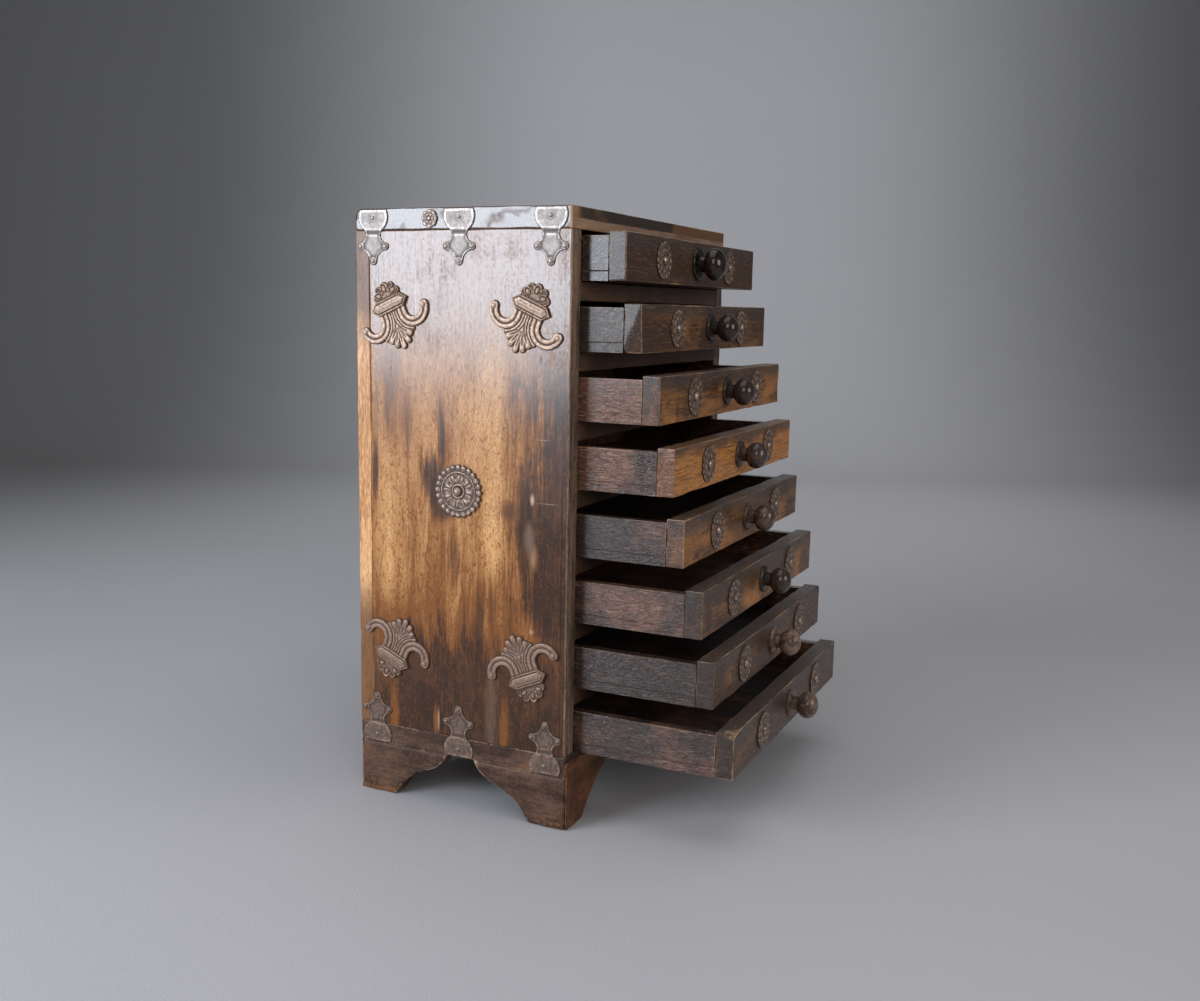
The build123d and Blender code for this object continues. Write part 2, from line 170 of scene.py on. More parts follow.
# %% A material in Python
class Finish(Graph):
    """A material being built round one Principled shader."""

    def __init__(self, name):
        self.material = bpy.data.materials.new(name)
        self.material.use_nodes = True
        super().__init__(self.material.node_tree)
        self.shader = self.tree.nodes["Principled BSDF"]
        self.place = self.node("ShaderNodeTexCoord", output="Object")

    def set(self, **sockets):
        """Feed the Principled shader's sockets, named with underscores for spaces."""
        for name, value in sockets.items():
            self.feed(self.shader.inputs[name.replace("_", " ")], value)
        return self.material

    def attribute(self, name):
        """A number stored on the mesh."""
        return self.node("ShaderNodeAttribute", {"attribute_name": name}, output="Fac")

    def axis(self, letter):
        """One coordinate of the place on the piece, in metres."""
        return self.node("ShaderNodeSeparateXYZ", inputs={0: self.place}, output=letter)

    def stretched(self, scale, offset=(0, 0, 0)):
        """Coordinates scaled to features per metre, one number or one for each axis."""
        if not isinstance(scale, tuple):
            scale = (scale,) * 3
        return self.node("ShaderNodeMapping", inputs={0: self.place, 1: offset, 3: scale})

    def noise(self, scale, detail=3, rough=0.55, bend=0, offset=(0, 0, 0)):
        """Soft noise around one half, with that many features per metre."""
        inputs = {"Vector": self.stretched(scale, offset), "Scale": 1}
        inputs.update({"Detail": detail, "Roughness": rough, "Distortion": bend})
        return self.node("ShaderNodeTexNoise", inputs=inputs)

    def rise(self, value, start, end):
        """Nought below start, one above end, and smooth between. It falls where end is less."""
        low, high, first, last = (start, end, 0, 1) if start < end else (end, start, 1, 0)
        inputs = {0: value, 1: low, 2: high, 3: first, 4: last}
        return self.node("ShaderNodeMapRange", {"interpolation_type": "SMOOTHSTEP"}, inputs)

    def mix(self, share, first, second):
        """Two colours mixed by a share of the second."""
        inputs = {0: share, 6: first, 7: second}
        return self.node("ShaderNodeMix", {"data_type": "RGBA"}, inputs, output=2)

    def bump(self, height, depth):
        """A bumped normal from a height pattern, depth being its size in metres."""
        inputs = {"Strength": 1, "Distance": depth, "Height": height}
        return self.node("ShaderNodeBump", inputs=inputs)


print("shader toolkit ready")

# %% [markdown]
# ## Old wood
# Old, oiled and handled wood needs three patterns: a broad figure along the grain, fine fibres
# and short dark pores. They are solid noises stretched along one axis, so a board's end shows
# dots where its face shows streaks. Three numbers on the mesh help: "edge" is high on worn
# arrises, "shade" tells boards apart, and "up" goes from 0 at a board's foot to 1 at its top.

# %% The wood patterns
umber = (0.026, 0.013, 0.009)
chocolate = (0.06, 0.029, 0.018)
walnut = (0.11, 0.052, 0.031)
tan = (0.36, 0.205, 0.105)


def with_grain(grain, across, along):
    """The scale of a pattern that is fine across the grain and long with it."""
    return tuple(along if letter == grain else across for letter in "XYZ")


class Wood(Finish):
    """A wooden finish with its grain along one axis."""

    def __init__(self, name, grain):
        super().__init__(name)
        # The figures are features per metre, then detail, roughness and bend.
        self.figure = self.noise(with_grain(grain, 46, 7), 4, 0.58, 0.9)
        self.fibre = self.noise(with_grain(grain, 800, 45), 4, 0.62, 0.2)
        self.fleck = self.noise(with_grain(grain, 720, 190), 3, 0.6, 0.5)
        self.pores = self.rise(self.noise(with_grain(grain, 1400, 170), 2, 0.5), 0.57, 0.68)
        self.blotch = self.noise(27, 5, 0.62, 0.4)
        self.speck = self.noise(420, 3, 0.65)
        self.edge = self.attribute("edge")
        self.shade = self.attribute("shade")
        self.up = self.attribute("up")

    def worn_edges(self, colour, bare, start=0.86, end=1.15, share=0.7):
        """The colour with its arrises rubbed through to barer wood."""
        uneven = self.edge + (self.blotch - 0.5) * 1.5 + (self.speck - 0.5) * 0.8
        return self.mix(self.rise(uneven, start, end) * share, colour, bare)

    def grain_bump(self, depth=0.00012):
        """Fibres and open pores as relief."""
        return self.bump(self.fibre * 0.6 + self.fleck * 0.3 - self.pores * 0.8, depth)

    def spot(self, y, z, wide, tall, ragged=1):
        """A torn-edged stain on a side, in millimetres, y from the middle of the case."""
        scale = (0, 1 / (wide * mm), 1 / (tall * mm))
        offset = (0, -(middle_y + y * mm) / (wide * mm), -z / tall)
        place = self.stretched(scale, offset)
        far = self.node("ShaderNodeVectorMath", {"operation": "LENGTH"}, {0: place}, "Value")
        broad = (self.streak - 0.5) * 1.9 + (self.blotch - 0.5) * 1.3
        torn = broad + (self.fibre - 0.5) * 1.1 + (self.fleck - 0.5) * 0.8
        return self.rise(far + torn * ragged, 1.5, 0.15)


print("wood patterns ready")

# %% [markdown]
# ## Plain stained boards
# Rails, runners, feet and base boards share one recipe: dark stain, warmer wood where it was
# rubbed, and bare wood on the arrises. "glow" is the orange wood where the stain is gone, mostly
# near the floor, and "grime" breaks every patch up into specks.

# %% One recipe for plain boards
toe_height = 14 * mm


def plain_wood(name, grain, deep, warm, bare, rough, coat, gloss=0.4, glow=None, grime=0):
    """A board stained dark, with warmer wood in patches."""
    wood = Wood(name, grain)
    share = wood.blotch * 0.55 + wood.figure * 0.45
    specks = (wood.speck - 0.5) * grime
    patch = wood.rise(share + (wood.fleck - 0.5) * 0.16 + specks, 0.4, 0.6)
    colour = wood.mix(patch, deep, warm)
    if glow:
        height = wood.axis("Z") + (wood.blotch - 0.5) * 0.06 + (wood.fibre - 0.5) * 0.02
        toe = wood.rise(height, toe_height, 0)
        colour = wood.mix(wood.rise(share + specks + toe * 0.12, 0.56, 0.68) * 0.8, colour, glow)
    colour = wood.mix(wood.rise(wood.fibre, 0.35, 0.75) * 0.45, colour, umber)
    colour = wood.mix(wood.pores * 0.5, colour, umber)
    colour = wood.worn_edges(colour, bare, 0.86 - grime * 0.7, 1.15 - grime * 0.5)
    return wood.set(
        Base_Color=colour,
        Roughness=rough + (wood.speck - 0.5) * 0.3 + wood.pores * 0.12 + (wood.blotch - 0.5) * 0.2,
        Specular_IOR_Level=gloss,
        Coat_Weight=coat,
        Coat_Roughness=0.3,
        Normal=wood.grain_bump(),
    )


print("plain boards can be stained")

# %% [markdown]
# ## The side panels
# The left side is what the eye meets first: golden where hands rubbed it, dark low down and
# towards the front, with a cool gloss above. The gloss is only the soft lamp in the polish, so it
# comes from roughness and coat, not from paint. The long dark streaks, the bright and golden
# places and the pale scrapes are soft ovals, torn at their edges by noises.

# %% Stains of the side panel
# y from the middle of the case, z, width and height in millimetres, and how much of it shows.
dark_stains = [
    (-70, 200, 32, 168, 0.95),
    (-50, 205, 11, 60, 0.85),
    (-38, 208, 12, 12, 0.7),
    (-25.5, 142, 4, 26, 0.6),
    (-14, 120, 9, 40, 0.7),
    (14, 256, 4, 26, 0.8),
    (20, 222, 8, 24, 0.9),
    (11, 205, 13, 9, 0.85),
    (4, 174, 9, 24, 0.66),
    (54, 288, 10, 34, 0.6),
    (40, 262, 6, 24, 0.5),
    (66, 226, 4, 22, 0.85),
    (38, 176, 6, 22, 0.45),
]
bright_stains = [
    (56, 208, 9, 52),
    (-25, 262, 9, 60),
    (-24, 190, 8, 34),
    (29, 242, 8, 34),
    (-9, 254, 8, 36),
    (57, 152, 7, 22),
]
golden_stains = [
    (-35, 64, 4, 22),
    (18, 58, 2, 12),
    (60, 100, 12, 22),
    (52, 62, 4, 22),
]
pale_stains = [
    (-54.5, 217.5, 1.5, 3.4, 0.75),
    (-52.5, 192, 3.4, 9, 0.18),
    (-55.5, 180, 2.8, 8, 0.22),
    (-54.5, 131, 1.6, 2.4, 0.55),
    (16, 60, 0.7, 7, 0.4),
    (-25, 74, 4.5, 34, 0.1),
    (-61, 256, 5, 0.4, 0.35),
    (-66, 215.7, 8, 0.3, 0.35),
    (33, 330, 0.4, 34, 0.35),
]
slot_hole = (-59.5, 306, 1.1, 3.4)
stain_lists = (dark_stains, bright_stains, golden_stains, pale_stains)
print("side panel stains", sum(len(stains) for stains in stain_lists))

# %% [markdown]
# ## From stains to a finish
# The colours go on as layers: the golden field, the dark of the stains, foot and top, then
# dapples, fibres, scrapes and pits, and the stile, which is the same board's front edge. Last
# come rubbed arrises and the polish, whose dull patches break up the lamp's reflection.

# %% The side panel's finish
amber, honey, straw = (0.215, 0.08, 0.024), (0.42, 0.185, 0.062), (0.83, 0.455, 0.195)
soot, cocoa, russet = (0.048, 0.026, 0.018), (0.078, 0.038, 0.025), (0.18, 0.08, 0.034)
stain_border, upper_brown = (0.25, 0.092, 0.029), (0.165, 0.095, 0.078)
dapple_brown, fibre_brown = (0.13, 0.05, 0.02), (0.09, 0.04, 0.02)
stile_dark, stile_light = (0.082, 0.058, 0.046), (0.255, 0.16, 0.11)
scrape, bare_arris = (0.7, 0.5, 0.36), (0.44, 0.27, 0.14)
dark_foot, dark_head, polish_rise = (0.15, 0.098), (0.285, 0.35), (0.17, 0.305)
bead_shadow_inset = 4.2 * mm


def side_panel_finish():
    """Golden wood with long dark streaks."""
    wood = Wood("side_panel", "Z")
    wood.streak = wood.noise((95, 95, 11), 5, 0.62, 0.7, (3.1, 0, 0.7))
    dapple = wood.noise((400, 400, 230), 4, 0.66, 1.2)
    height = wood.axis("Z")
    torn = (wood.fibre - 0.5) * 0.05 + (wood.fleck - 0.5) * 0.03
    wander = (wood.streak - 0.5) * 0.11 + (wood.blotch - 0.5) * 0.05 + torn
    low = wood.rise(height + wander * 0.9 + (dapple - 0.5) * 0.03, *dark_foot)
    high = wood.rise(height + wander, *dark_head)
    dark = low * 0.95
    for y, z, wide, tall, share in dark_stains:
        dark = dark.most(wood.spot(y, z, wide, tall) * share)
    for stain in golden_stains:
        dark = dark * (1 - wood.spot(*stain) * 0.65)
    gold = dapple * 0.52 + wood.streak * 0.3 + wood.fibre * 0.18 - (wood.pores * 0.03)
    for stain in bright_stains:
        gold = gold + wood.spot(*stain, 0.8) * 0.062
    gold = gold - wood.rise(height, 0.185, 0.11) * 0.09
    field = wood.mix(wood.rise(gold, 0.42, 0.51), amber, honey)
    field = wood.mix(wood.rise(gold, 0.49, 0.61), field, straw)
    ragged = (wood.fibre - 0.5) * 0.7 + (dapple - 0.5) * 0.6
    deep = wood.mix(wood.rise(wood.blotch + ragged, 0.38, 0.62), soot, cocoa)
    deep = wood.mix(wood.rise(wood.streak + ragged, 0.52, 0.74) * 0.5, deep, russet)
    border = wood.rise(dark + (dapple - 0.5) * 0.6, 0.02, 0.6) * 0.75
    colour = wood.mix(border, field, stain_border)
    colour = wood.mix(wood.rise(dark + (dapple - 0.5) * 0.5, 0.28, 0.92), colour, deep)
    colour = wood.mix(high * 0.85, colour, upper_brown)
    colour = wood.mix(wood.rise(dapple, 0.5, 0.62) * 0.55, colour, dapple_brown)
    colour = wood.mix(wood.rise(wood.fibre, 0.52, 0.7) * 0.28, colour, fibre_brown)
    for y, z, wide, tall, share in pale_stains:
        colour = wood.mix(wood.spot(y, z, wide, tall, 0.7) * share, colour, scrape)
    pits = wood.noise(260, 2, 0.5, 0, (7, 0, 0))
    colour = wood.mix(wood.rise(pits, 0.71, 0.76) * 0.5, colour, umber)
    colour = wood.mix(wood.spot(*slot_hole, 0.15), colour, umber)
    line = wood.rise(abs(wood.axis("Y") - (front_y + bead_shadow_inset)), 0.7 * mm, 0.2 * mm)
    colour = wood.mix(line * 0.6, colour, umber)
    stile = wood.rise(wood.axis("Y"), front_y + 1.6 * mm, front_y + 0.6 * mm)
    brown = wood.mix(wood.rise(wood.figure + ragged, 0.38, 0.66), stile_dark, stile_light)
    colour = wood.mix(stile, colour, brown)
    colour = wood.worn_edges(colour, bare_arris, 0.72, 1.02)
    outer = wood.rise(abs(wood.axis("X")), -left_x - 1.2 * mm, -left_x - 0.5 * mm)
    colour = wood.mix(outer, brown, colour)
    shine = height + (wood.blotch - 0.5) * 0.04 + (wood.streak - 0.5) * 0.05 + torn
    polish = wood.rise(shine, *polish_rise) * outer
    dull = wood.rise(wood.fibre + (wood.speck - 0.5) * 0.9, 0.46, 0.7) * 0.3
    cloud = wood.blotch + (wood.streak - 0.5) * 0.7 + (wood.speck - 0.5) * 0.3
    dull = dull + wood.rise(cloud, 0.5, 0.72) * 0.4
    uneven = (wood.speck - 0.5) * 0.22 + (dapple - 0.5) * 0.16 + (wood.blotch - 0.5) * 0.12
    return wood.set(
        Base_Color=colour,
        Roughness=0.5 - polish * 0.2 + uneven,
        Specular_IOR_Level=0.14,
        Coat_Weight=polish * (1 - dull),
        Coat_Roughness=0.22,
        Coat_IOR=1.68,
        Normal=wood.bump(dapple * 0.6 + wood.fibre * 0.5 - wood.pores * 0.5, 0.0001),
    )


side_finish = side_panel_finish()
print("side panel finish has", len(side_finish.node_tree.nodes), "nodes")

# %% [markdown]
# ## The top board
# The top is polished brown. Its front edge is a paler wood with a dark band of old stain along
# its upper half, worn to brown at the right end and bare at the left corner. It is one board, so
# one material does it all, and steps along X, Y and Z part the areas.

# %% The top board's finish
edge_brown, edge_tan = (0.22, 0.128, 0.088), (0.42, 0.25, 0.155)
band_black, band_brown = (0.042, 0.026, 0.018), (0.17, 0.085, 0.035)
band_rust, corner_tan = (0.22, 0.1, 0.036), (0.34, 0.2, 0.1)
band_foot = case_top_z - 7.8 * mm
band_end_x = 22 * mm


def top_board_finish():
    """Polished brown, with a dark band along its front edge."""
    wood = Wood("top_wood", "X")
    broad = wood.rise(wood.blotch * 0.5 + wood.figure * 0.5, 0.44, 0.58)
    colour = wood.mix(broad, chocolate, walnut)
    on_front = wood.rise(wood.axis("Y"), front_y + 2.2 * mm, front_y + 1.2 * mm)
    front = wood.mix(wood.rise(wood.figure, 0.42, 0.6), edge_brown, edge_tan)
    height = wood.axis("Z") + (wood.blotch - 0.5) * (3 * mm)
    above = wood.rise(height, band_foot, band_foot + 1.2 * mm)
    along = wood.axis("X")
    left_part = wood.rise(along + (wood.speck - 0.5) * (6 * mm), band_end_x + 8 * mm, band_end_x)
    from_corner = along + (wood.blotch - 0.5) * (20 * mm)
    from_corner = wood.rise(from_corner, left_x + 6 * mm, left_x + 16 * mm)
    band = wood.mix(left_part, band_brown, band_black)
    band = wood.mix(wood.rise(wood.blotch, 0.58, 0.7) * 0.5, band, band_rust)
    band = wood.mix(from_corner, corner_tan, band)
    front = wood.mix(above, front, band)
    colour = wood.mix(on_front, colour, front)
    colour = wood.mix(wood.rise(wood.fibre, 0.35, 0.75) * 0.35, colour, umber)
    colour = wood.worn_edges(colour, tan)
    rubbed = wood.rise(wood.figure, 0.5, 0.66) * 0.22 + (wood.fleck - 0.5) * 0.12
    bare = wood.rise(wood.figure, 0.54, 0.68) * (1 - on_front) * 0.7
    return wood.set(
        Base_Color=colour,
        Roughness=0.27 + on_front * 0.2 + rubbed,
        Specular_IOR_Level=0.6,
        Coat_Weight=1 - on_front * 0.9 - bare,
        Coat_Roughness=0.2,
        Normal=wood.grain_bump(0.03 * mm),
    )


top_finish = top_board_finish()
print("top board finish has", len(top_finish.node_tree.nodes), "nodes")

# %% [markdown]
# ## The back board
# It is planted on the rear edges of the sides, so its own edges show as a strip of fresher,
# orange wood down each side. Polish has darkened the strip at the top, and dirt at the foot.

# %% The back board's finish
back_brown = (0.16, 0.07, 0.032)
strip_orange, strip_straw = (0.54, 0.245, 0.095), (0.96, 0.55, 0.265)
strip_foot = (0.19, 0.082, 0.034)
strip_foot_z, strip_head_z = (0.165, 0.112), (0.305, 0.345)


def back_board_finish():
    """Dark behind, orange on the strips that show at the sides."""
    wood = Wood("back_wood", "Z")
    height = wood.axis("Z")
    broad = wood.rise(wood.figure * 0.6 + wood.blotch * 0.4, 0.42, 0.6)
    colour = wood.mix(broad, chocolate, back_brown)
    at_side = wood.rise(abs(wood.axis("X")), -left_x - 2 * mm, -left_x - 0.8 * mm)
    ragged = (wood.fibre - 0.5) * 0.8 + (wood.fleck - 0.5) * 0.6
    strip = wood.mix(wood.rise(wood.figure + ragged, 0.34, 0.62), strip_orange, strip_straw)
    foot = wood.rise(height + (wood.blotch - 0.5) * (60 * mm), *strip_foot_z)
    head = wood.rise(height + (wood.blotch - 0.5) * (50 * mm), *strip_head_z)
    strip = wood.mix(foot * 0.92, strip, strip_foot)
    strip = wood.mix(head * 0.85, strip, walnut)
    colour = wood.mix(at_side, colour, strip)
    colour = wood.mix(wood.rise(wood.fibre, 0.4, 0.75) * 0.35, colour, chocolate)
    colour = wood.mix(wood.pores * 0.4, colour, umber)
    colour = wood.worn_edges(colour, tan)
    return wood.set(
        Base_Color=colour,
        Roughness=0.42 + (wood.speck - 0.5) * 0.25 + wood.pores * 0.1,
        Specular_IOR_Level=0.2,
        Coat_Weight=0.04 + wood.rise(height, 0.2, 0.33) * 0.46,
        Coat_Roughness=0.3,
        Normal=wood.grain_bump(),
    )


back_finish = back_board_finish()
print("back board finish has", len(back_finish.node_tree.nodes), "nodes")

# %% [markdown]
# ## The drawers' walls
# Walls and bottoms are almost black, with a close grain that glitters in the lamp. On the first
# drawers the varnish has crumpled like leather. Both reliefs are one bump: the crumple is a
# folded noise, and a low shade lets it take the place of the fine grain.

# %% The drawer walls' finish
wall_black, wall_red, scuff_tan = (0.04, 0.025, 0.02), (0.19, 0.082, 0.048), (0.44, 0.29, 0.21)
second_wall_shade = 0.25


def wall_colour(wood):
    """Nearly black, redder in patches by the shade, with fine pale scuffs."""
    broad = wood.blotch * 0.6 + wood.figure * 0.4
    warmth = wood.rise(broad + (wood.shade - 0.5) * 0.3, 0.46, 0.66)
    colour = wood.mix(warmth, wall_black, wall_red)
    colour = wood.mix(wood.rise(wood.fleck, 0.46, 0.62) * 0.65, colour, umber)
    colour = wood.mix(wood.rise(wood.fibre, 0.48, 0.66) * 0.4, colour, umber)
    scuffs = wood.noise((950, 110, 950), 2.5, 0.6, 0.6, (0, 3, 0))
    wood.scuff = wood.rise(scuffs, 0.56, 0.65)
    return wood.mix(wood.scuff * (0.15 + warmth * 0.45), colour, scuff_tan)


def wall_wood(name, inside=False):
    """Dark wood with a close, glittering grain or a crumpled skin."""
    wood = Wood(name, "Y")
    close = wood.noise((600, 300, 850), 2, 0.6, 0.8)
    leather = wood.noise((190, 170, 250), 4, 0.6, 1.8)
    crease = abs(wood.noise((170, 120, 210), 1.5, 0.4, 0.9) - 0.5)
    crumpled = wood.rise(wood.shade, 0.38, 0.14)
    share = 0.1 if inside else wood.rise(wood.up, 0.05, 0.4) * 0.7
    colour = wood.worn_edges(wall_colour(wood), tan, 0.64, 1.02, share)
    fine = close * 0.6 + leather * 0.25 + wood.scuff * 0.12 - wood.pores * 0.2
    skin = fine * (1 - crumpled * 0.96) - crease * crumpled * 3.6
    dull = wood.rise(abs(wood.shade - second_wall_shade), 0.08, 0.02) * 0.45
    if inside:
        dull = dull.most(wood.rise(wood.up, 0.8, 0.96))
    return wood.set(
        Base_Color=colour,
        Roughness=0.26 + (wood.speck - 0.5) * 0.2 + (wood.blotch - 0.5) * 0.3 + dull * 0.3,
        Specular_IOR_Level=0.4,
        Coat_Weight=0.7 - dull * 0.7,
        Coat_Roughness=0.16,
        Normal=wood.bump(skin, 1.2 * mm),
    )


wall_finish = wall_wood("drawer_wall_wood")
bottom_finish = wall_wood("drawer_bottom_wood", inside=True)
print("drawer wall finish has", len(wall_finish.node_tree.nodes), "nodes")

# %% [markdown]
# ## The drawers' fronts
# The fronts range from black to orange, which their shade decides. Fingers have smeared the top
# of each dark, and its ends look like the walls, because the same varnish ran over them.

# %% The drawer fronts' finish
front_black, front_orange = (0.066, 0.035, 0.022), (0.58, 0.24, 0.062)
fibre_black, finger_grime = (0.066, 0.028, 0.014), (0.062, 0.046, 0.038)
front_scuff, front_bare = (0.4, 0.24, 0.15), (0.44, 0.28, 0.16)
front_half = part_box("drawer_1_front")[1][0]


def drawer_front_finish():
    """Patchy brown to orange by its shade, smeared dark along the top."""
    wood = Wood("drawer_front_wood", "X")
    share = wood.blotch * 0.55 + wood.figure * 0.45 + (wood.shade - 0.5) * 0.36
    ragged = (wood.fibre - 0.5) * 0.5 + (wood.fleck - 0.5) * 0.3
    patch = wood.rise(share + ragged, 0.4, 0.64)
    colour = wood.mix(patch, front_black, front_orange)
    colour = wood.mix(wood.rise(wood.fibre, 0.42, 0.66) * 0.6, colour, fibre_black)
    colour = wood.mix(wood.rise(wood.fleck, 0.5, 0.64) * 0.4, colour, umber)
    smear = wood.rise(wood.up + (wood.blotch - 0.5) * 0.9, 0.6, 0.9)
    colour = wood.mix(smear * 0.8, colour, finger_grime)
    scuffs = wood.noise((110, 1300, 1300), 2, 0.6, 0.6, (3, 0, 0))
    colour = wood.mix(wood.rise(scuffs, 0.57, 0.67) * 0.28, colour, front_scuff)
    end = wood.rise(abs(wood.axis("X")), front_half - 1 * mm, front_half - 0.4 * mm)
    colour = wood.mix(end * 0.85, colour, wall_colour(wood))
    colour = wood.worn_edges(colour, front_bare, 0.64, 1, 0.75)
    uneven = (wood.speck - 0.5) * 0.3 + wood.pores * 0.12 + (wood.blotch - 0.5) * 0.2
    skin = wood.fibre * 0.8 + wood.fleck * (0.7 + end * 1.6) - wood.pores * 0.8
    return wood.set(
        Base_Color=colour,
        Roughness=0.36 + uneven - end * 0.06,
        Specular_IOR_Level=0.35,
        Coat_Weight=0.12 + end * 0.4,
        Coat_Roughness=0.2,
        Normal=wood.bump(skin, 0.3 * mm),
    )


front_finish = drawer_front_finish()
print("drawer front finish has", len(front_finish.node_tree.nodes), "nodes")

# %% [markdown]
# ## Base, feet, rails and runners
# These four use the plain recipe. The base is the most orange, the side feet are browner and
# duller, the rails are dark, and the runners inside are bare of polish.

# %% The plain boards' finishes
base_deep, base_warm, base_glow = (0.1, 0.042, 0.022), (0.29, 0.112, 0.048), (0.48, 0.18, 0.058)
foot_deep, foot_warm, foot_glow = (0.05, 0.026, 0.018), (0.145, 0.082, 0.056), (0.27, 0.115, 0.045)
rail_deep, rail_warm = (0.062, 0.038, 0.026), (0.16, 0.08, 0.048)
bare_foot = (0.46, 0.33, 0.23)
base_finish = plain_wood(
    "base_wood", "X", base_deep, base_warm, bare_foot,
    rough=0.48, coat=0.05, gloss=0.2, glow=base_glow, grime=0.25,
)
foot_finish = plain_wood(
    "foot_wood", "Y", foot_deep, foot_warm, bare_foot,
    rough=0.46, coat=0.03, gloss=0.15, glow=foot_glow, grime=0.25,
)
rail_finish = plain_wood("rail_wood", "X", rail_deep, rail_warm, tan, rough=0.4, coat=0.2)
runner_finish = plain_wood("runner_wood", "Y", umber, chocolate, chocolate, rough=0.6, coat=0)
print("finishes so far", len(bpy.data.materials))

# %% [markdown]
# ## The knobs' polish
# The upper knobs are almost black and the lower ones are rubbed to brown, which their shade
# decides, with smudges of old polish left on all of them.

# %% The knobs' finish
knob_black, knob_brown = (0.006, 0.005, 0.004), (0.29, 0.178, 0.13)
knob_smudge = (0.034, 0.021, 0.016)


def knob_finish():
    """Polished dark wood, browner where its shade is higher."""
    wood = Wood("knob_wood", "Y")
    colour = wood.mix(wood.shade, knob_black, knob_brown)
    cloud = wood.noise((150, 90, 150), 3, 0.6, 0.6)
    smudge = wood.rise(cloud + (wood.speck - 0.5) * 0.4, 0.4, 0.58)
    colour = wood.mix(smudge * 0.75, colour, knob_smudge)
    colour = wood.mix(wood.pores * 0.5, colour, umber)
    return wood.set(
        Base_Color=colour,
        Roughness=0.15 + (wood.speck - 0.5) * 0.16 + wood.shade * 0.2,
        Specular_IOR_Level=0.27,
        Coat_Weight=0.28 - wood.shade * 0.04,
        Coat_Roughness=0.13,
        Normal=wood.grain_bump(0.03 * mm),
    )


knob_polish = knob_finish()
print("knob finish has", len(knob_polish.node_tree.nodes), "nodes")

# %% [markdown]
# ## Brass and iron
# The stampings are thin brass that has gone brown: their hollows hold dirt and their crests are
# rubbed bright, which a "relief" number on each mesh tells the shader. Fittings are duller low
# down, as painted shade with some dirt, and lighter high up, as a painted sheen of the lamp, so
# the crest's colour follows the height too.

# %% The metals' finishes
# Heights between which the crests go from painted shade low down to painted sheen high up.
fittings_shaded_below_z, fittings_lit_above_z = 0.12, 0.33


def stamped_metal(name, hollow, crest, shaded_low_crest, rough=0.4, metallic=0.35, mottle=0.35):
    """Thin stamped metal: dirt in its hollows, rubbed crests and clouds of tarnish."""
    metal = Finish(name)
    relief = metal.attribute("relief")
    cloud = metal.noise(170, 4, 0.65, 0.4)
    grit = metal.noise(1100, 3, 0.6)
    stain = metal.noise(460, 3, 0.62, 0.5)
    rubbed = metal.rise(relief + (cloud - 0.5) * 0.5 + (grit - 0.5) * 0.35, 0.22, 0.78)
    # Painted light: the crest is lighter high up, a painted sheen, and darker low down, painted shade
    # with some dirt.
    height = metal.rise(metal.axis("Z"), fittings_shaded_below_z, fittings_lit_above_z)
    bright = metal.mix(height, shaded_low_crest, crest)
    colour = metal.mix(rubbed, hollow, bright)
    dirt = cloud * 0.5 + stain * 0.5 + (grit - 0.5) * 0.3
    colour = metal.mix(metal.rise(dirt, 0.44, 0.58) * mottle, colour, hollow)
    colour = metal.mix(metal.rise(grit, 0.52, 0.64) * rubbed * 0.35, colour, hollow)
    return metal.set(
        Base_Color=colour,
        Metallic=metallic * (0.5 + rubbed * 0.5),
        Roughness=rough + (grit - 0.5) * 0.3 + (1 - rubbed) * 0.15,
        Normal=metal.bump(grit * 0.5 + cloud, 0.12 * mm),
    )


bronze, dull_bronze, brown = (0.62, 0.43, 0.32), (0.35, 0.212, 0.148), (0.31, 0.195, 0.138)
gilt, dull_gilt = (0.56, 0.41, 0.32), (0.48, 0.35, 0.27)
# For each metal: the hollows' colour, the crests' colour high up, with painted sheen, and low
# down, with painted shade, then its roughness, how metallic it is and how much of it is mottled.
metal_looks = {
    "mount_brass": ((0.095, 0.06, 0.044), bronze, dull_bronze, 0.44, 0.25, 0.5),
    "medallion_brass": ((0.06, 0.036, 0.027), (0.46, 0.32, 0.24), (0.46, 0.32, 0.24)),
    # The band rosettes' greyish crest is partly a painted sheen of the lamp.
    "band_rosette_brass": ((0.15, 0.1, 0.08), (0.5, 0.42, 0.37), dull_bronze, 0.3, 0.5),
    # The top straps' greyish crests are partly a painted sheen of the lamp.
    "strap_brass": ((0.13, 0.105, 0.092), (0.47, 0.43, 0.41), dull_bronze, 0.36, 0.5, 0.6),
    # A darker copy of the strap brass for the bottom straps: painted shade with some dirt.
    "dull_strap_brass": ((0.07, 0.045, 0.034), dull_bronze, brown, 0.62, 0.1, 0.85),
    "rosette_brass": ((0.07, 0.038, 0.024), gilt, dull_gilt, 0.28, 0.5, 0.85),
    "strap_pin_brass": ((0.1, 0.06, 0.045), (0.46, 0.36, 0.31), (0.2, 0.15, 0.115), 0.34, 0.5),
    "mount_pin_brass": ((0.14, 0.09, 0.07), bronze, dull_bronze),
    "nail_iron": ((0.03, 0.025, 0.022), (0.12, 0.1, 0.09), (0.1, 0.08, 0.07), 0.55, 0.7),
}
metals = {name: stamped_metal(name, *look) for name, look in metal_looks.items()}
print("metals", len(metals))

# %% [markdown]
# ## Chance that is the same each time
# Wear needs chance, but the chest has to come out the same on every run. This noise mixes the
# whole numbers of a cell's corners, so a place and a seed always give the same answer.

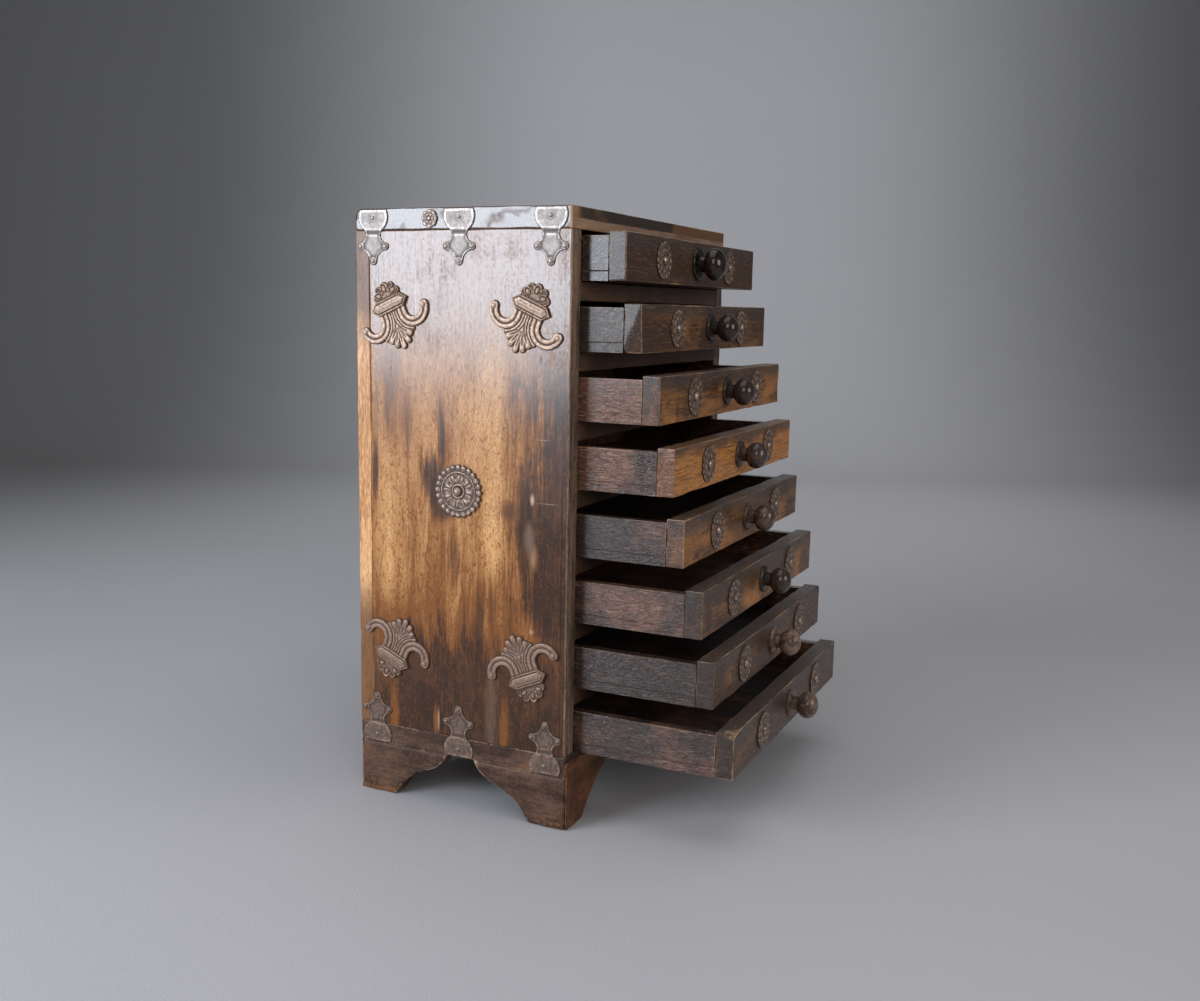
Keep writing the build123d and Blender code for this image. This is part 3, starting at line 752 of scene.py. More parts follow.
# %% Smooth noise and smooth steps
def soft_noise(points, size, seed=0):
    """Smooth noise from -1 to 1 that changes over about size, in the points' own unit."""
    cell = np.asarray(points) / size + seed * 7.31
    base = np.floor(cell).astype(np.int64)
    part = cell - base
    part = part * part * (3 - 2 * part)
    total = np.zeros(len(cell))
    for corner in np.ndindex(2, 2, 2):
        spot = base + np.array(corner)
        mixed = (spot[:, 0] * 73856093) ^ (spot[:, 1] * 19349663) ^ (spot[:, 2] * 83492791)
        mixed = (mixed ^ (mixed >> 15)) * 2246822519 & 0xFFFFFFFF
        mixed = (mixed ^ (mixed >> 13)) * 3266489917 & 0xFFFFFFFF
        share = np.prod(np.where(np.array(corner) == 1, part, 1 - part), axis=1)
        total += share * (mixed / 2147483648.0 - 1)
    return total


def smooth_step(value, start, end):
    t = np.clip((np.asarray(value) - start) / (end - start), 0, 1)
    return t * t * (3 - 2 * t)


print("noise at one place", soft_noise([[0.1, 0.2, 0.3]], 10 * mm).round(3))

# %% [markdown]
# ## Boards with worn edges
# No old board has knife edges. The skin of each board is a grid that is close near its arrises.
# Every point near an arris is pulled onto a round, whose radius wanders with soft noise and is
# larger where the wood is chipped. Points only move inwards, so the board keeps its size.

# %% The grid of a board's skin
near_lines = np.array([0.0, 0.25, 0.5, 0.8, 1.2, 2.0, 3.2])
last_near_line = 1.6 * mm
most_of_a_side = 0.45


def grid_stops(low, high, cell, near):
    """Places of grid lines along one side, closer together near its ends."""
    steps = np.append(near * near_lines, near * near_lines[-1] + last_near_line)
    steps = steps[steps < most_of_a_side * (high - low)]
    count = max(1, int(math.ceil((high - low - 2 * steps[-1]) / cell)))
    inner = np.linspace(low + steps[-1], high - steps[-1], count + 1)
    return np.concatenate([low + steps[:-1], inner, high - steps[:-1][::-1]])


def box_skin(stops):
    """The points of a box's skin on three sets of grid lines, and its quads."""
    shape = tuple(len(places) for places in stops)
    outer = np.ones(shape, bool)
    outer[1:-1, 1:-1, 1:-1] = False
    numbers = np.full(shape, -1)
    numbers[outer] = np.arange(outer.sum())
    points = np.stack(np.meshgrid(*stops, indexing="ij"), -1)[outer]
    quads = []
    for axis in range(3):
        for end in (0, -1):
            sheet = np.take(numbers, end, axis=axis)
            quad = np.stack([sheet[:-1, :-1], sheet[1:, :-1], sheet[1:, 1:], sheet[:-1, 1:]], -1)
            quad = quad.reshape(-1, 4)
            faces_out = (end == -1) != (axis == 1)
            quads.append(quad if faces_out else quad[:, ::-1])
    return points, np.concatenate(quads)


print("a 40 mm side gets", len(grid_stops(0, 40 * mm, 7 * mm, 1 * mm)), "grid lines")

# %% The wear of a board
edge_reach = 1.3 * mm
ripple_depth = 0.12 * mm


def worn_board(
    low, high, radius=0.8 * mm, chip=1.4 * mm, cell=7 * mm, seed=0,
    rounder=None, lines=None, carve=None, cut=None,
):
    """Points, quads and edge values of a worn board inside its box."""
    # rounder changes how far each arris is worn, lines adds grid lines by axis, carve moves the
    # finished points, and cut moves them and tells how bare the wood is there.
    low, high = np.array(low), np.array(high)
    stops = [grid_stops(a, b, cell, radius + chip / 3) for a, b in zip(low, high)]
    for axis, places in (lines or {}).items():
        stops[axis] = np.unique(np.concatenate([stops[axis], places]).round(6))
    points, quads = box_skin(stops)
    wander = 1 + 0.55 * soft_noise(points, 9 * mm, seed)
    knocks = soft_noise(points, 5 * mm, seed + 5) + soft_noise(points, 21 * mm, seed + 3)
    chipped = smooth_step(knocks, 0.55, 1.2)
    reach = np.repeat((radius * wander + chip * chipped)[:, None], 3, axis=1)
    if rounder:
        reach = rounder(points, reach)
    reach = np.minimum(reach, most_of_a_side * (high - low))
    core = np.clip(points, low + reach, high - reach)
    lean = (points - core) / reach
    length = np.maximum(np.linalg.norm(lean, axis=1, keepdims=True), 1e-9)
    gaps = np.sort(np.minimum(points - low, high - points), axis=1)
    edge = np.exp(-gaps[:, 1] / edge_reach)
    points = core + reach * lean / length
    inward = core - points
    inward /= np.maximum(np.linalg.norm(inward, axis=1, keepdims=True), 1e-9)
    ripple = ripple_depth * (1 + soft_noise(points, 30 * mm, seed + 9)) / 2
    points = points + inward * ripple[:, None]
    if carve:
        points = carve(points)
    if cut:
        points, bare = cut(points)
        edge = np.maximum(edge, bare)
    return points, quads, edge


print("boards wear", edge_reach / mm, "mm in from their arrises")

# %% Meshes and pieces
def in_scene(name, data):
    """A new object with some data, linked to the scene."""
    made = bpy.data.objects.new(name, data)
    bpy.context.scene.collection.objects.link(made)
    return made


def baked(thing):
    """The plain mesh that an object's modifiers leave. The object itself goes."""
    graph = bpy.context.evaluated_depsgraph_get()
    mesh = bpy.data.meshes.new_from_object(thing.evaluated_get(graph))
    bpy.data.objects.remove(thing)
    return mesh


def set_number(mesh, key, values):
    """Store one number, or an array of them, on the points of a mesh."""
    layer = mesh.attributes.new(key, "FLOAT", "POINT")
    layer.data.foreach_set("value", np.full(len(mesh.vertices), values, dtype=np.float32))


def tidy_mesh(name, points, faces, numbers=None):
    """A mesh of points and faces, with numbers stored on its points."""
    mesh = bpy.data.meshes.new(name)
    mesh.from_pydata(np.asarray(points).tolist(), [], [list(map(int, face)) for face in faces])
    for key, values in (numbers or {}).items():
        set_number(mesh, key, values)
    mesh.validate()
    mesh.update()
    return mesh


def joined(parts):
    """Several (points, faces, numbers) as one."""
    points, faces, numbers = [], [], {}
    start = 0
    for part_points, part_faces, part_numbers in parts:
        points.append(np.asarray(part_points))
        faces.extend([[int(i) + start for i in face] for face in part_faces])
        for key, values in part_numbers.items():
            numbers.setdefault(key, []).append(np.broadcast_to(values, len(part_points)))
        start += len(part_points)
    return np.concatenate(points), faces, {key: np.concatenate(v) for key, v in numbers.items()}


def finished_piece(name, mesh, material, body, slot, node, sharp=35.0):
    """A mesh as a piece of the chest, in place of a node."""
    mesh.materials.clear()
    mesh.materials.append(material)
    mesh.shade_smooth()
    mesh.set_sharp_from_angle(angle=math.radians(sharp))
    piece = in_scene(name, mesh)
    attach(piece, body)
    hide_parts(node)
    return piece


def board_piece(node, boxes, material, slot, body="case", shade=0.0, **wear):
    """One or more worn boards as a single piece in place of a node."""
    name = node + "_wood"
    parts = []
    for number, (low, high) in enumerate(boxes):
        seed = sum(ord(letter) for letter in name) + 11 * number
        points, quads, edge = worn_board(low, high, seed=seed, **wear)
        up = (points[:, 2] - low[2]) / (high[2] - low[2])
        parts.append((points, quads, {"edge": edge, "shade": shade, "up": up}))
    return finished_piece(name, tidy_mesh(name, *joined(parts)), material, body, slot, node)


print("board tools ready")

# %% [markdown]
# ## Where the nails dish the wood
# The nails of the top and the back sit in small dishes that the hammer left. The boards' grids
# get closer lines round each row, because a small dish would fall between the usual ones.

# %% Places of the nails in the boards
nail_margin = 30 * mm
case_nail_low, case_nail_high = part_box("case_nails")
nail_radius = 1.7 * mm
nail_x = case_nail_high[0] - nail_radius
back_face_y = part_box("back_board")[0][1]
top_under_z = top_low[2]
top_nail_y = np.linspace(case_nail_low[1] + nail_radius, back_face_y - nail_margin, 3)
back_nail_z = np.linspace(case_nail_low[2] + nail_radius, top_under_z - nail_margin, 5)
top_nails = [(side * nail_x, y, case_top_z) for side in (-1, 1) for y in top_nail_y]
back_nails = [(side * nail_x, rear_y, z) for side in (-1, 1) for z in back_nail_z]
dish_radius = 2.7 * mm
dish_depth = 0.5 * mm


def lines_round(*places):
    """Grid lines close round some places along one axis."""
    near = dish_radius * np.linspace(-1, 1, 9)
    return np.unique(np.concatenate([place + near for place in places]))


def dished(points, nails, axis):
    """The points pressed in a little round each nail on an outer face."""
    others = [i for i in range(3) if i != axis]
    for nail in np.array(nails):
        far = np.linalg.norm(points[:, others] - nail[others], axis=1) / dish_radius
        on_face = points[:, axis] > nail[axis] - 1.0 * mm
        points[:, axis] -= np.where(on_face, dish_depth * (1 - smooth_step(far, 0.55, 1.0)), 0)
    return points


print("nails in the top", len(top_nails), "and in the back", len(back_nails))

# %% [markdown]
# ## The boards of the case
# Top, bottom, back and sides are worn boards. The top's rear edge is rubbed to a large round, and
# each side has a bead line down its front edge, as a scratch stock cuts it. Both are small
# changes to the points of the same grid.

# %% Make the case's boards
rear_round = 5 * mm
bead_line_inset = 4.85 * mm
bead_line_width = 1.1 * mm
bead_line_depth = 0.55 * mm


def round_rear_top(points, reach):
    """A larger round along the rear top arris only."""
    near_rear = points[:, 1] > rear_y - 1.6 * rear_round
    near_top = points[:, 2] > case_top_z - 1.6 * rear_round
    reach[near_rear & near_top, 1:] = rear_round
    return reach


def single_board(node, material, slot, **wear):
    """A board that fills the box of one node of the case."""
    return board_piece(node, [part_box(node)], material, slot, **wear)


def side_board(node, outer_x, inwards):
    """A side board with the bead line scratched into its front edge."""
    centre = outer_x + inwards * bead_line_inset

    def scratch(points):
        across = np.clip(1 - np.abs(points[:, 0] - centre) / (0.5 * bead_line_width), 0, 1)
        points[:, 1] += np.where(points[:, 1] < front_y + 0.5 * mm, bead_line_depth * across, 0)
        return points

    lines = {0: centre + bead_line_width * np.linspace(-0.6, 0.6, 5)}
    return single_board(
        node, side_finish, "case_wood", cell=4 * mm, chip=1.0 * mm, lines=lines, carve=scratch
    )


top_piece = single_board(
    "top_board", top_finish, "case_wood", rounder=round_rear_top, cell=5 * mm,
    lines={0: lines_round(-nail_x, nail_x), 1: lines_round(*top_nail_y)},
    carve=lambda points: dished(points, top_nails, 2),
)
single_board("bottom_board", foot_finish, "base_wood")
single_board(
    "back_board", back_finish, "case_wood",
    lines={0: lines_round(-nail_x, nail_x), 2: lines_round(*back_nail_z)},
    carve=lambda points: dished(points, back_nails, 1),
)
left_piece = side_board("left_side_board", left_x, 1.0)
side_board("right_side_board", -left_x, -1.0)
print("case boards:", top_piece.name, left_piece.name, "and their neighbours")

# %% [markdown]
# ## Rails and runners
# Under each drawer but the lowest lies a rail across the front, and a runner on each side behind
# it. All seven levels are alike, one drawer's height apart, so a loop makes their boxes.

# %% Make the rails and runners
runner_width = 14 * mm
runner_thickness = 7 * mm
level_count = len(drawer_names) - 1
rail_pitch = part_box("drawer_7_bottom")[0][2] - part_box("drawer_8_bottom")[0][2]
rail_low, rail_high = corners_of("drawer_rails")
runner_low, runner_high = corners_of("drawer_runners")
rail_height = rail_high[2] - rail_low[2] - (level_count - 1) * rail_pitch
runner_size = np.array([runner_width, runner_high[1] - runner_low[1], runner_thickness])
rail_top = np.array([rail_high[0], rail_high[1], rail_low[2] + rail_height])
rail_boxes, runner_boxes = [], []
for level in range(level_count):
    rise = np.array([0, 0, level * rail_pitch])
    rail_boxes.append((rail_low + rise, rail_top + rise))
    for x in (runner_low[0], runner_high[0] - runner_width):
        low = np.array([x, runner_low[1], runner_low[2]]) + rise
        runner_boxes.append((low, low + runner_size))
board_piece("drawer_rails", rail_boxes, rail_finish, "inner_wood")
board_piece("drawer_runners", runner_boxes, runner_finish, "inner_wood", cell=12 * mm)
print("rails", len(rail_boxes), "runners", len(runner_boxes))

# %% [markdown]
# ## The bracket feet and base boards
# The base boards have a sawn outline with a hollow, a cusp and a swelling, which the engineering
# mesh already has. A voxel remesh turns it into an even skin. Arrises are found by how far a
# point stands out from its neighbours, and noise rubs them down.

# %% An even skin over a node
def even_skin(node, voxel):
    """The node's mesh, merged and remeshed into small even quads."""
    shape = in_scene("skin", frame["nodes"][node].data.copy())
    weld = shape.modifiers.new("weld", "WELD")
    weld.merge_threshold = 0.01 * mm
    remesh = shape.modifiers.new("remesh", "REMESH")
    remesh.mode = "VOXEL"
    remesh.voxel_size = voxel
    smooth = shape.modifiers.new("smooth", "SMOOTH")
    smooth.factor = 0.5
    smooth.iterations = 2
    return baked(shape)


def read_points(mesh):
    flat = np.empty(len(mesh.vertices) * 3)
    mesh.vertices.foreach_get("co", flat)
    return flat.reshape(-1, 3)


def neighbour_mean(mesh, values):
    """Each point's neighbours' mean of some values."""
    pairs = np.empty(len(mesh.edges) * 2, dtype=np.int32)
    mesh.edges.foreach_get("vertices", pairs)
    first, second = pairs.reshape(-1, 2).T
    total = np.zeros_like(values)
    count = np.zeros(len(values))
    for one, other in ((first, second), (second, first)):
        np.add.at(total, one, values[other])
        np.add.at(count, one, 1)
    return total / np.maximum(count, 1)[:, None]


print("skin tools ready")

# %% Remake the sawn boards
skin_voxel = 1.25 * mm
rub_depth = 0.5 * mm
grain_depth = 0.08 * mm


def remade(node, material, seed):
    """A sawn board with rubbed arrises in place of its node."""
    mesh = even_skin(node, skin_voxel)
    points = read_points(mesh)
    normals = np.empty(len(points) * 3)
    mesh.vertex_normals.foreach_get("vector", normals)
    normals = normals.reshape(-1, 3)
    mean = points.copy()
    for _ in range(3):
        mean = neighbour_mean(mesh, mean)
    stands_out = ((points - mean) * normals).sum(1)
    edge = smooth_step(stands_out, 0.08 * mm, 0.45 * mm)
    rub = np.clip(0.4 + 0.9 * soft_noise(points, 9 * mm, seed), 0, 1) * edge
    grain = grain_depth * (1 + soft_noise(points * [1, 1, 3], 3 * mm, seed + 2))
    points -= normals * (rub_depth * rub + grain)[:, None]
    low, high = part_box(node)
    points = np.clip(points, low, high)
    faces = [list(face.vertices) for face in mesh.polygons]
    numbers = {"edge": 0.85 * edge, "shade": np.zeros(len(points))}
    bpy.data.meshes.remove(mesh)
    name = node + "_wood"
    new_mesh = tidy_mesh(name, points, faces, numbers)
    return finished_piece(name, new_mesh, material, "case", "base_wood", node, sharp=60.0)


base_front = remade("base_front", base_finish, seed=3)
base_rear = remade("base_rear", base_finish, seed=5)
side_feet = remade("side_feet", foot_finish, seed=7)
print("sawn boards", [len(piece.data.polygons) for piece in (base_front, base_rear, side_feet)])

# %% [markdown]
# ## The glue blocks
# Four square blocks are glued into the inner corners of the base, to hold feet and boards
# together. They are plain boards again, standing on end.

# %% Make the glue blocks
block_low, block_high = corners_of("glue_blocks")
block_size = 14 * mm
block_extent = np.array([block_size, block_size, block_high[2] - block_low[2]])
block_boxes = []
for x in (block_low[0], block_high[0] - block_size):
    for y in (block_low[1], block_high[1] - block_size):
        corner = np.array([x, y, block_low[2]])
        block_boxes.append((corner, corner + block_extent))
board_piece("glue_blocks", block_boxes, rail_finish, "inner_wood", cell=9 * mm)
print("glue blocks", len(block_boxes))

# %% [markdown]
# ## A splinter and a chip
# The second drawer's front has lost a long splinter from its left arris, and the eighth a chip
# from its upper corner. Whatever stands beyond a plane through three places on the arrises is
# pressed back onto it, roughly, and marked as bare wood.

# %% Cuts by a plane
splinter_width, splinter_bare, splinter_rough = 3 * mm, 0.55, 0.1 * mm
chip_length, chip_drop, chip_rear_drop = 15 * mm, 3.5 * mm, 0.8 * mm
chip_bare, chip_rough = 0.64, 0.6 * mm


def split_off(corners, away, bare, rough):
    """A cut that presses points onto the plane through three corners."""
    first, second, third = (np.array(corner) for corner in corners)
    normal = np.cross(second - first, third - first)
    normal /= np.linalg.norm(normal)
    normal *= np.sign(normal @ np.array(away))

    def cut(points):
        depth = (points - first) @ normal + rough * soft_noise(points, 3 * mm, 2)
        over = np.maximum(depth, 0)
        return points - over[:, None] * normal, bare * smooth_step(over, 0.1 * mm, 0.4 * mm)

    return cut


def front_damage(name):
    """The cut that damages a front, if it is damaged."""
    (x, y, bottom), (_, joint, top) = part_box(name + "_front")
    if name == "drawer_2":
        corners = [(x, y, top), (x, joint, bottom), (x + splinter_width, y, bottom)]
        return split_off(corners, (-1, -1, -1), splinter_bare, splinter_rough)
    if name == "drawer_8":
        front_corners = [(x + chip_length, y, top), (x, y, top - chip_drop)]
        corners = front_corners + [(x, joint, top - chip_rear_drop)]
        return split_off(corners, (-1, -1, 1), chip_bare, chip_rough)
    return None


print("damaged fronts", [name for name in drawer_names if front_damage(name)])

# %% [markdown]
# ## The drawers
# Each drawer is a thick front, two thin sides, a back and a bottom board. One loop makes all
# eight from the boxes of their nodes. A shade makes the fourth front the most golden and the
# first the darkest. Thin boards wear less, so their radius is small.

# %% Make the drawers' boards
front_shade = (0.05, 0.26, 0.56, 1.45, 0.5, 0.42, 0.26, 0.16)
wall_shade = (0.12, 0.25, 1.1, 0.7, 0.4, 0.8, 0.32, 0.55)
wall_thickness = 7 * mm
front_cell, damaged_cell = 5 * mm, 1.5 * mm
thin_radius = 0.13 * mm


def drawer_boards(name, front_tone, wall_tone):
    """The front, the three walls and the bottom of one drawer."""
    cut = front_damage(name)
    front = name + "_front"
    cell = damaged_cell if cut else front_cell
    board_piece(
        front, [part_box(front)], front_finish, "drawer_front_wood", name, front_tone,
        cell=cell, cut=cut,
    )
    low, high = corners_of(name + "_walls")
    left_wall = (low, [low[0] + wall_thickness, high[1], high[2]])
    right_wall = ([high[0] - wall_thickness, low[1], low[2]], high)
    rear_wall = (
        [low[0] + wall_thickness, high[1] - wall_thickness, low[2]],
        [high[0] - wall_thickness, high[1], high[2]],
    )
    walls = [left_wall, right_wall, rear_wall]
    board_piece(
        name + "_walls", walls, wall_finish, "drawer_wood", name, wall_tone,
        cell=6 * mm, radius=thin_radius, chip=0.3 * mm,
    )
    board_piece(
        name + "_bottom", [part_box(name + "_bottom")], bottom_finish, "drawer_wood", name, wall_tone,
        cell=9 * mm, radius=thin_radius, chip=0.4 * mm,
    )


for name, front_tone, wall_tone in zip(drawer_names, front_shade, wall_shade):
    drawer_boards(name, front_tone, wall_tone)
print("drawers", len(drawer_names), "with three board pieces each")

# %% [markdown]
# ## Rules as Geometry Nodes
# A knob is turned on a lathe and a tack is one little thing many times over. Both follow a rule,
# so a Geometry Nodes tree makes them. This class writes the tree, runs it on a starting mesh and
# hands back a plain mesh, because an exported model keeps no modifiers.

# %% Geometry Nodes from Python
whole_numbers = ("Segments", "Stations", "Seed")


class Rule(Graph):
    """A Geometry Nodes tree with named inputs."""

    def __init__(self, name, *sizes):
        super().__init__(bpy.data.node_groups.new(name, "GeometryNodeTree"))
        face = self.tree.interface
        face.new_socket("Geometry", in_out="INPUT", socket_type="NodeSocketGeometry")
        self.key = {}
        kinds = {size: "NodeSocketFloat" for size in sizes}
        kinds.update({size: "NodeSocketInt" for size in sizes if size in whole_numbers})
        kinds["Material"] = "NodeSocketMaterial"
        for size, kind in kinds.items():
            self.key[size] = face.new_socket(size, in_out="INPUT", socket_type=kind).identifier
        face.new_socket("Geometry", in_out="OUTPUT", socket_type="NodeSocketGeometry")
        self.entry = self.tree.nodes.new("NodeGroupInput")

    def size(self, name):
        return Pattern(self, self.entry.outputs[name])

    def axes(self, place, letters):
        """Some coordinates of a place."""
        for letter in letters:
            yield self.node("ShaderNodeSeparateXYZ", inputs={0: place}, output=letter)

    def end(self, geometry):
        """Realize the instances, set the material and leave the tree."""
        real = self.node("GeometryNodeRealizeInstances", inputs={"Geometry": geometry})
        inputs = {"Geometry": real, "Material": self.size("Material")}
        finished = self.node("GeometryNodeSetMaterial", inputs=inputs)
        leave = self.tree.nodes.new("NodeGroupOutput")
        self.tree.links.new(finished.socket, leave.inputs[0])

    def made(self, start, material, **sizes):
        """The plain mesh that the tree makes from a starting mesh."""
        maker = in_scene("maker", start)
        run = maker.modifiers.new("rule", "NODES")
        run.node_group = self.tree
        for size, value in sizes.items():
            run[self.key[size]] = value
        run[self.key["Material"]] = material
        return baked(maker)


print("geometry rules ready")

# %% [markdown]
# ## The knobs
# A knob has a flange against the drawer, a short neck and a slightly flattened ball. Its radius
# at any distance is the largest of three simple shapes. A grid is wrapped round the axis by that
# rule, closest where the profile turns fastest, and its seam and poles are merged.

# %% The rule of a knob
seam_gap = 0.01 * mm


def knob_rule():
    """A lathe whose profile is a flange, a neck and a ball."""
    sizes = ("Diameter", "Reach", "Ball length", "Flange", "Neck share")
    rule = Rule("knob lathe", "Segments", "Stations", *sizes)
    counts = {"Vertices X": rule.size("Segments"), "Vertices Y": rule.size("Stations")}
    grid = rule.node("GeometryNodeMeshGrid", inputs={"Size X": 1.0, "Size Y": 1.0, **counts})
    place = rule.node("GeometryNodeInputPosition")
    across, share = (axis + 0.5 for axis in rule.axes(place, "XY"))
    turn = across * (2 * math.pi)
    along = (1.0 - rule.maths("COSINE", share * math.pi)) * 0.5
    distance = along * rule.size("Reach")
    radius = rule.size("Diameter") * 0.5
    neck = radius * rule.size("Neck share")
    half_ball = rule.size("Ball length") * 0.5
    from_ball = (distance - (rule.size("Reach") - half_ball)) / half_ball
    ball = radius * (1.0 - (from_ball * from_ball).least(1.0)) ** 0.5
    past_flange = distance / rule.size("Flange")
    flange = radius * (1.0 - (past_flange**4.0).least(1.0)) ** 0.5
    body = neck * rule.maths("LESS_THAN", from_ball, 0.0)
    profile = ball.most(flange).most(body)
    profile = profile * rule.maths("GREATER_THAN", along, 0.00001)
    cosine, sine = rule.maths("COSINE", turn), rule.maths("SINE", turn)
    axes = {0: profile * cosine, 1: distance * -1.0, 2: profile * sine}
    spot = rule.node("ShaderNodeCombineXYZ", inputs=axes)
    wrapped = rule.node("GeometryNodeSetPosition", inputs={"Geometry": grid, "Position": spot})
    ends = {"Geometry": wrapped, "Distance": seam_gap}
    rule.end(rule.node("GeometryNodeMergeByDistance", inputs=ends))
    return rule


knob_lathe = knob_rule()
print("the knob's rule has", len(knob_lathe.tree.nodes), "nodes")

# %% [markdown]
# ## Turning all eight
# Wrapping a grid can turn it inside out, so the doubles are merged and the normals worked out
# again. Each knob is then moved to its drawer and gets its own shade.

# %% Turn the knobs
knob_sizes = {"Segments": 72, "Stations": 90}
knob_sizes.update({"Ball length": 15 * mm, "Flange": 3 * mm, "Neck share": 0.52})
knob_shade = (0.0, 0.08, 0.12, 0.3, 0.5, 0.2, 0.85, 0.6)


def with_outward_faces(mesh):
    """The mesh with its doubles merged and its faces turned outwards."""
    skin = bmesh.new()
    skin.from_mesh(mesh)
    bmesh.ops.remove_doubles(skin, verts=skin.verts, dist=0.002 * mm)
    bmesh.ops.recalc_face_normals(skin, faces=skin.faces)
    skin.to_mesh(mesh)
    skin.free()
    return mesh


for name, shade in zip(drawer_names, knob_shade):
    low, high = corners_of(name + "_knob")
    face_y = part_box(name + "_front")[0][1]
    mesh = knob_lathe.made(
        bpy.data.meshes.new("start"), knob_polish,
        Diameter=high[0] - low[0], Reach=face_y - low[1], **knob_sizes,
    )
    mesh = with_outward_faces(mesh)
    mesh.transform(Matrix.Translation((0.0, face_y, (low[2] + high[2]) / 2)))
    set_number(mesh, "shade", shade)
    set_number(mesh, "edge", 0.0)
    node = name + "_knob"
    finished_piece(node + "_wood", mesh, knob_polish, name, "knob_wood", node, sharp=50.0)
print("knobs", len(drawer_names), "each with", len(mesh.polygons), "faces")

# %% [markdown]
# ## Distances and cushions
# The stampings are drawn with signed distances: a function tells how far a place is outside a
# shape, and less than nought means inside. The least of several distances is their union, so a
# whole mount grows out of rounds, rings and strips, all in the plate's own millimetres.

# %% Shapes as distances
def disc(places, centre, radius):
    """Signed distance to a round: negative inside."""
    return np.hypot(places[..., 0] - centre[0], places[..., 1] - centre[1]) - radius


def boss(far, size):
    """The height of a half-round button, one in its middle and nought at its size."""
    return np.sqrt(np.clip(1 - (far / size) ** 2, 0, 1))


def round_the(centre, radius, angle):
    """A place at an angle in degrees on a circle."""
    turn = math.radians(angle)
    return centre[0] + radius * math.cos(turn), centre[1] + radius * math.sin(turn)


def softened(field, reach):
    """The mean over a small square round each grid place."""
    steps = range(-reach, reach + 1)
    for axis in (0, 1):
        field = sum(np.roll(field, step, axis) for step in steps) / len(steps)
    return field


print("3 mm off a 2 mm round is", disc(np.array([3.0, 0.0]), (0, 0), 2.0), "mm outside")

# %% [markdown]
# ## Stampings as relief
# Mounts and straps are sheet brass pressed into a die: a height over a flat outline. A fine grid
# is kept inside the outline, its border points are pulled onto it, and a formula gives the
# height. A back and a rim close it. "relief" tells how far a place stands above its surroundings.

# %% Plates cut from a grid
def open_border(quads):
    """The directed edges that only one quad has."""
    edges = np.concatenate([quads[:, [i, (i + 1) % 4]] for i in range(4)])
    size = int(quads.max()) + 1
    key = edges[:, 0] * size + edges[:, 1]
    back = edges[:, 1] * size + edges[:, 0]
    return edges[~np.isin(key, back)]


def stamped_plate(outline, height, low, high, cell=0.34, crest=0.5):
    """Points in millimetres, quads and relief of a plate."""
    stops = [np.arange(a - cell, b + 2 * cell, cell) for a, b in zip(low, high)]
    places = np.stack(np.meshgrid(*stops, indexing="ij"), -1)
    distance = outline(places)
    slope = np.stack(np.gradient(distance, cell), -1)
    slope /= np.maximum(np.linalg.norm(slope, axis=-1, keepdims=True), 0.3)
    near = np.abs(distance) < 0.5 * cell
    places = np.where(near[..., None], places - slope * distance[..., None], places)
    inside = distance < 0.5 * cell
    kept = inside[:-1, :-1] & inside[1:, :-1] & inside[1:, 1:] & inside[:-1, 1:]
    # Quads that touch another only at a corner would pinch the rim, so they go.
    for _ in range(4):
        a, b, c, d = kept[:-1, :-1], kept[1:, :-1], kept[:-1, 1:], kept[1:, 1:]
        kept[1:, :-1] &= ~((b & c) & ~(a | d))
        kept[:-1, :-1] &= ~((a & d) & ~(b | c))
    level = height(places)
    stands_out = level - softened(np.where(inside, level, level[inside].mean()), 4)
    relief = np.clip(0.5 + stands_out / crest, 0, 1) * smooth_step(-distance, 0.0, 0.5)
    numbers = np.arange(inside.size).reshape(inside.shape)
    corners = [numbers[:-1, :-1], numbers[1:, :-1], numbers[1:, 1:], numbers[:-1, 1:]]
    quads = np.stack(corners, -1)[kept]
    used, quads = np.unique(quads, return_inverse=True)
    quads = quads.reshape(-1, 4)
    flat = places.reshape(-1, 2)[used]
    count = len(flat)
    front = np.column_stack([flat, level.reshape(-1)[used]])
    back = np.column_stack([flat, np.zeros(count)])
    start, end = open_border(quads).T
    walls = np.column_stack([end, start, start + count, end + count])
    faces = np.concatenate([quads, quads[:, ::-1] + count, walls])
    worth = relief.reshape(-1)[used]
    return np.concatenate([front, back]), faces, {"relief": np.concatenate([worth, 0 * worth])}


print("plate tools ready")

# %% Laying plates on the chest
def laid_on_side(part, y, z, turn=0.0):
    """A plate laid on the left side, its first axis towards the front."""
    points, faces, numbers = part
    cosine, sine = math.cos(math.radians(turn)), math.sin(math.radians(turn))
    ahead = cosine * points[:, 0] - sine * points[:, 1]
    up = sine * points[:, 0] + cosine * points[:, 1]
    placed = np.stack([left_x - points[:, 2] * mm, y - ahead * mm, z + up * mm], -1)
    return placed, faces, numbers


def mirrored(part, axis, plane):
    """The part mirrored in a plane across one axis, its faces still outwards."""
    points, faces, numbers = part
    points = points.copy()
    points[:, axis] = 2 * plane - points[:, axis]
    return points, [face[::-1] for face in faces], numbers


def metal_piece(node, parts, look, slot="mount_brass", body="case"):
    """Several stampings as one piece in place of a node."""
    name = node + "_metal"
    mesh = tidy_mesh(name, *joined(parts))
    return finished_piece(name, mesh, metals[look], body, slot, node, sharp=48.0)


print("stamping tools ready")

# %% [markdown]
# ## The crowned mounts
# Each mount has a raised bar, a crown of scallops above it, and two plumes that curl out below it
# with a fan of ribs, over a leaf of five curled petals. All ribs are circles round the plumes'
# centres, so one distance gives their crests. A mount is even about its middle, so only its right
# half is drawn, and places are folded onto it.

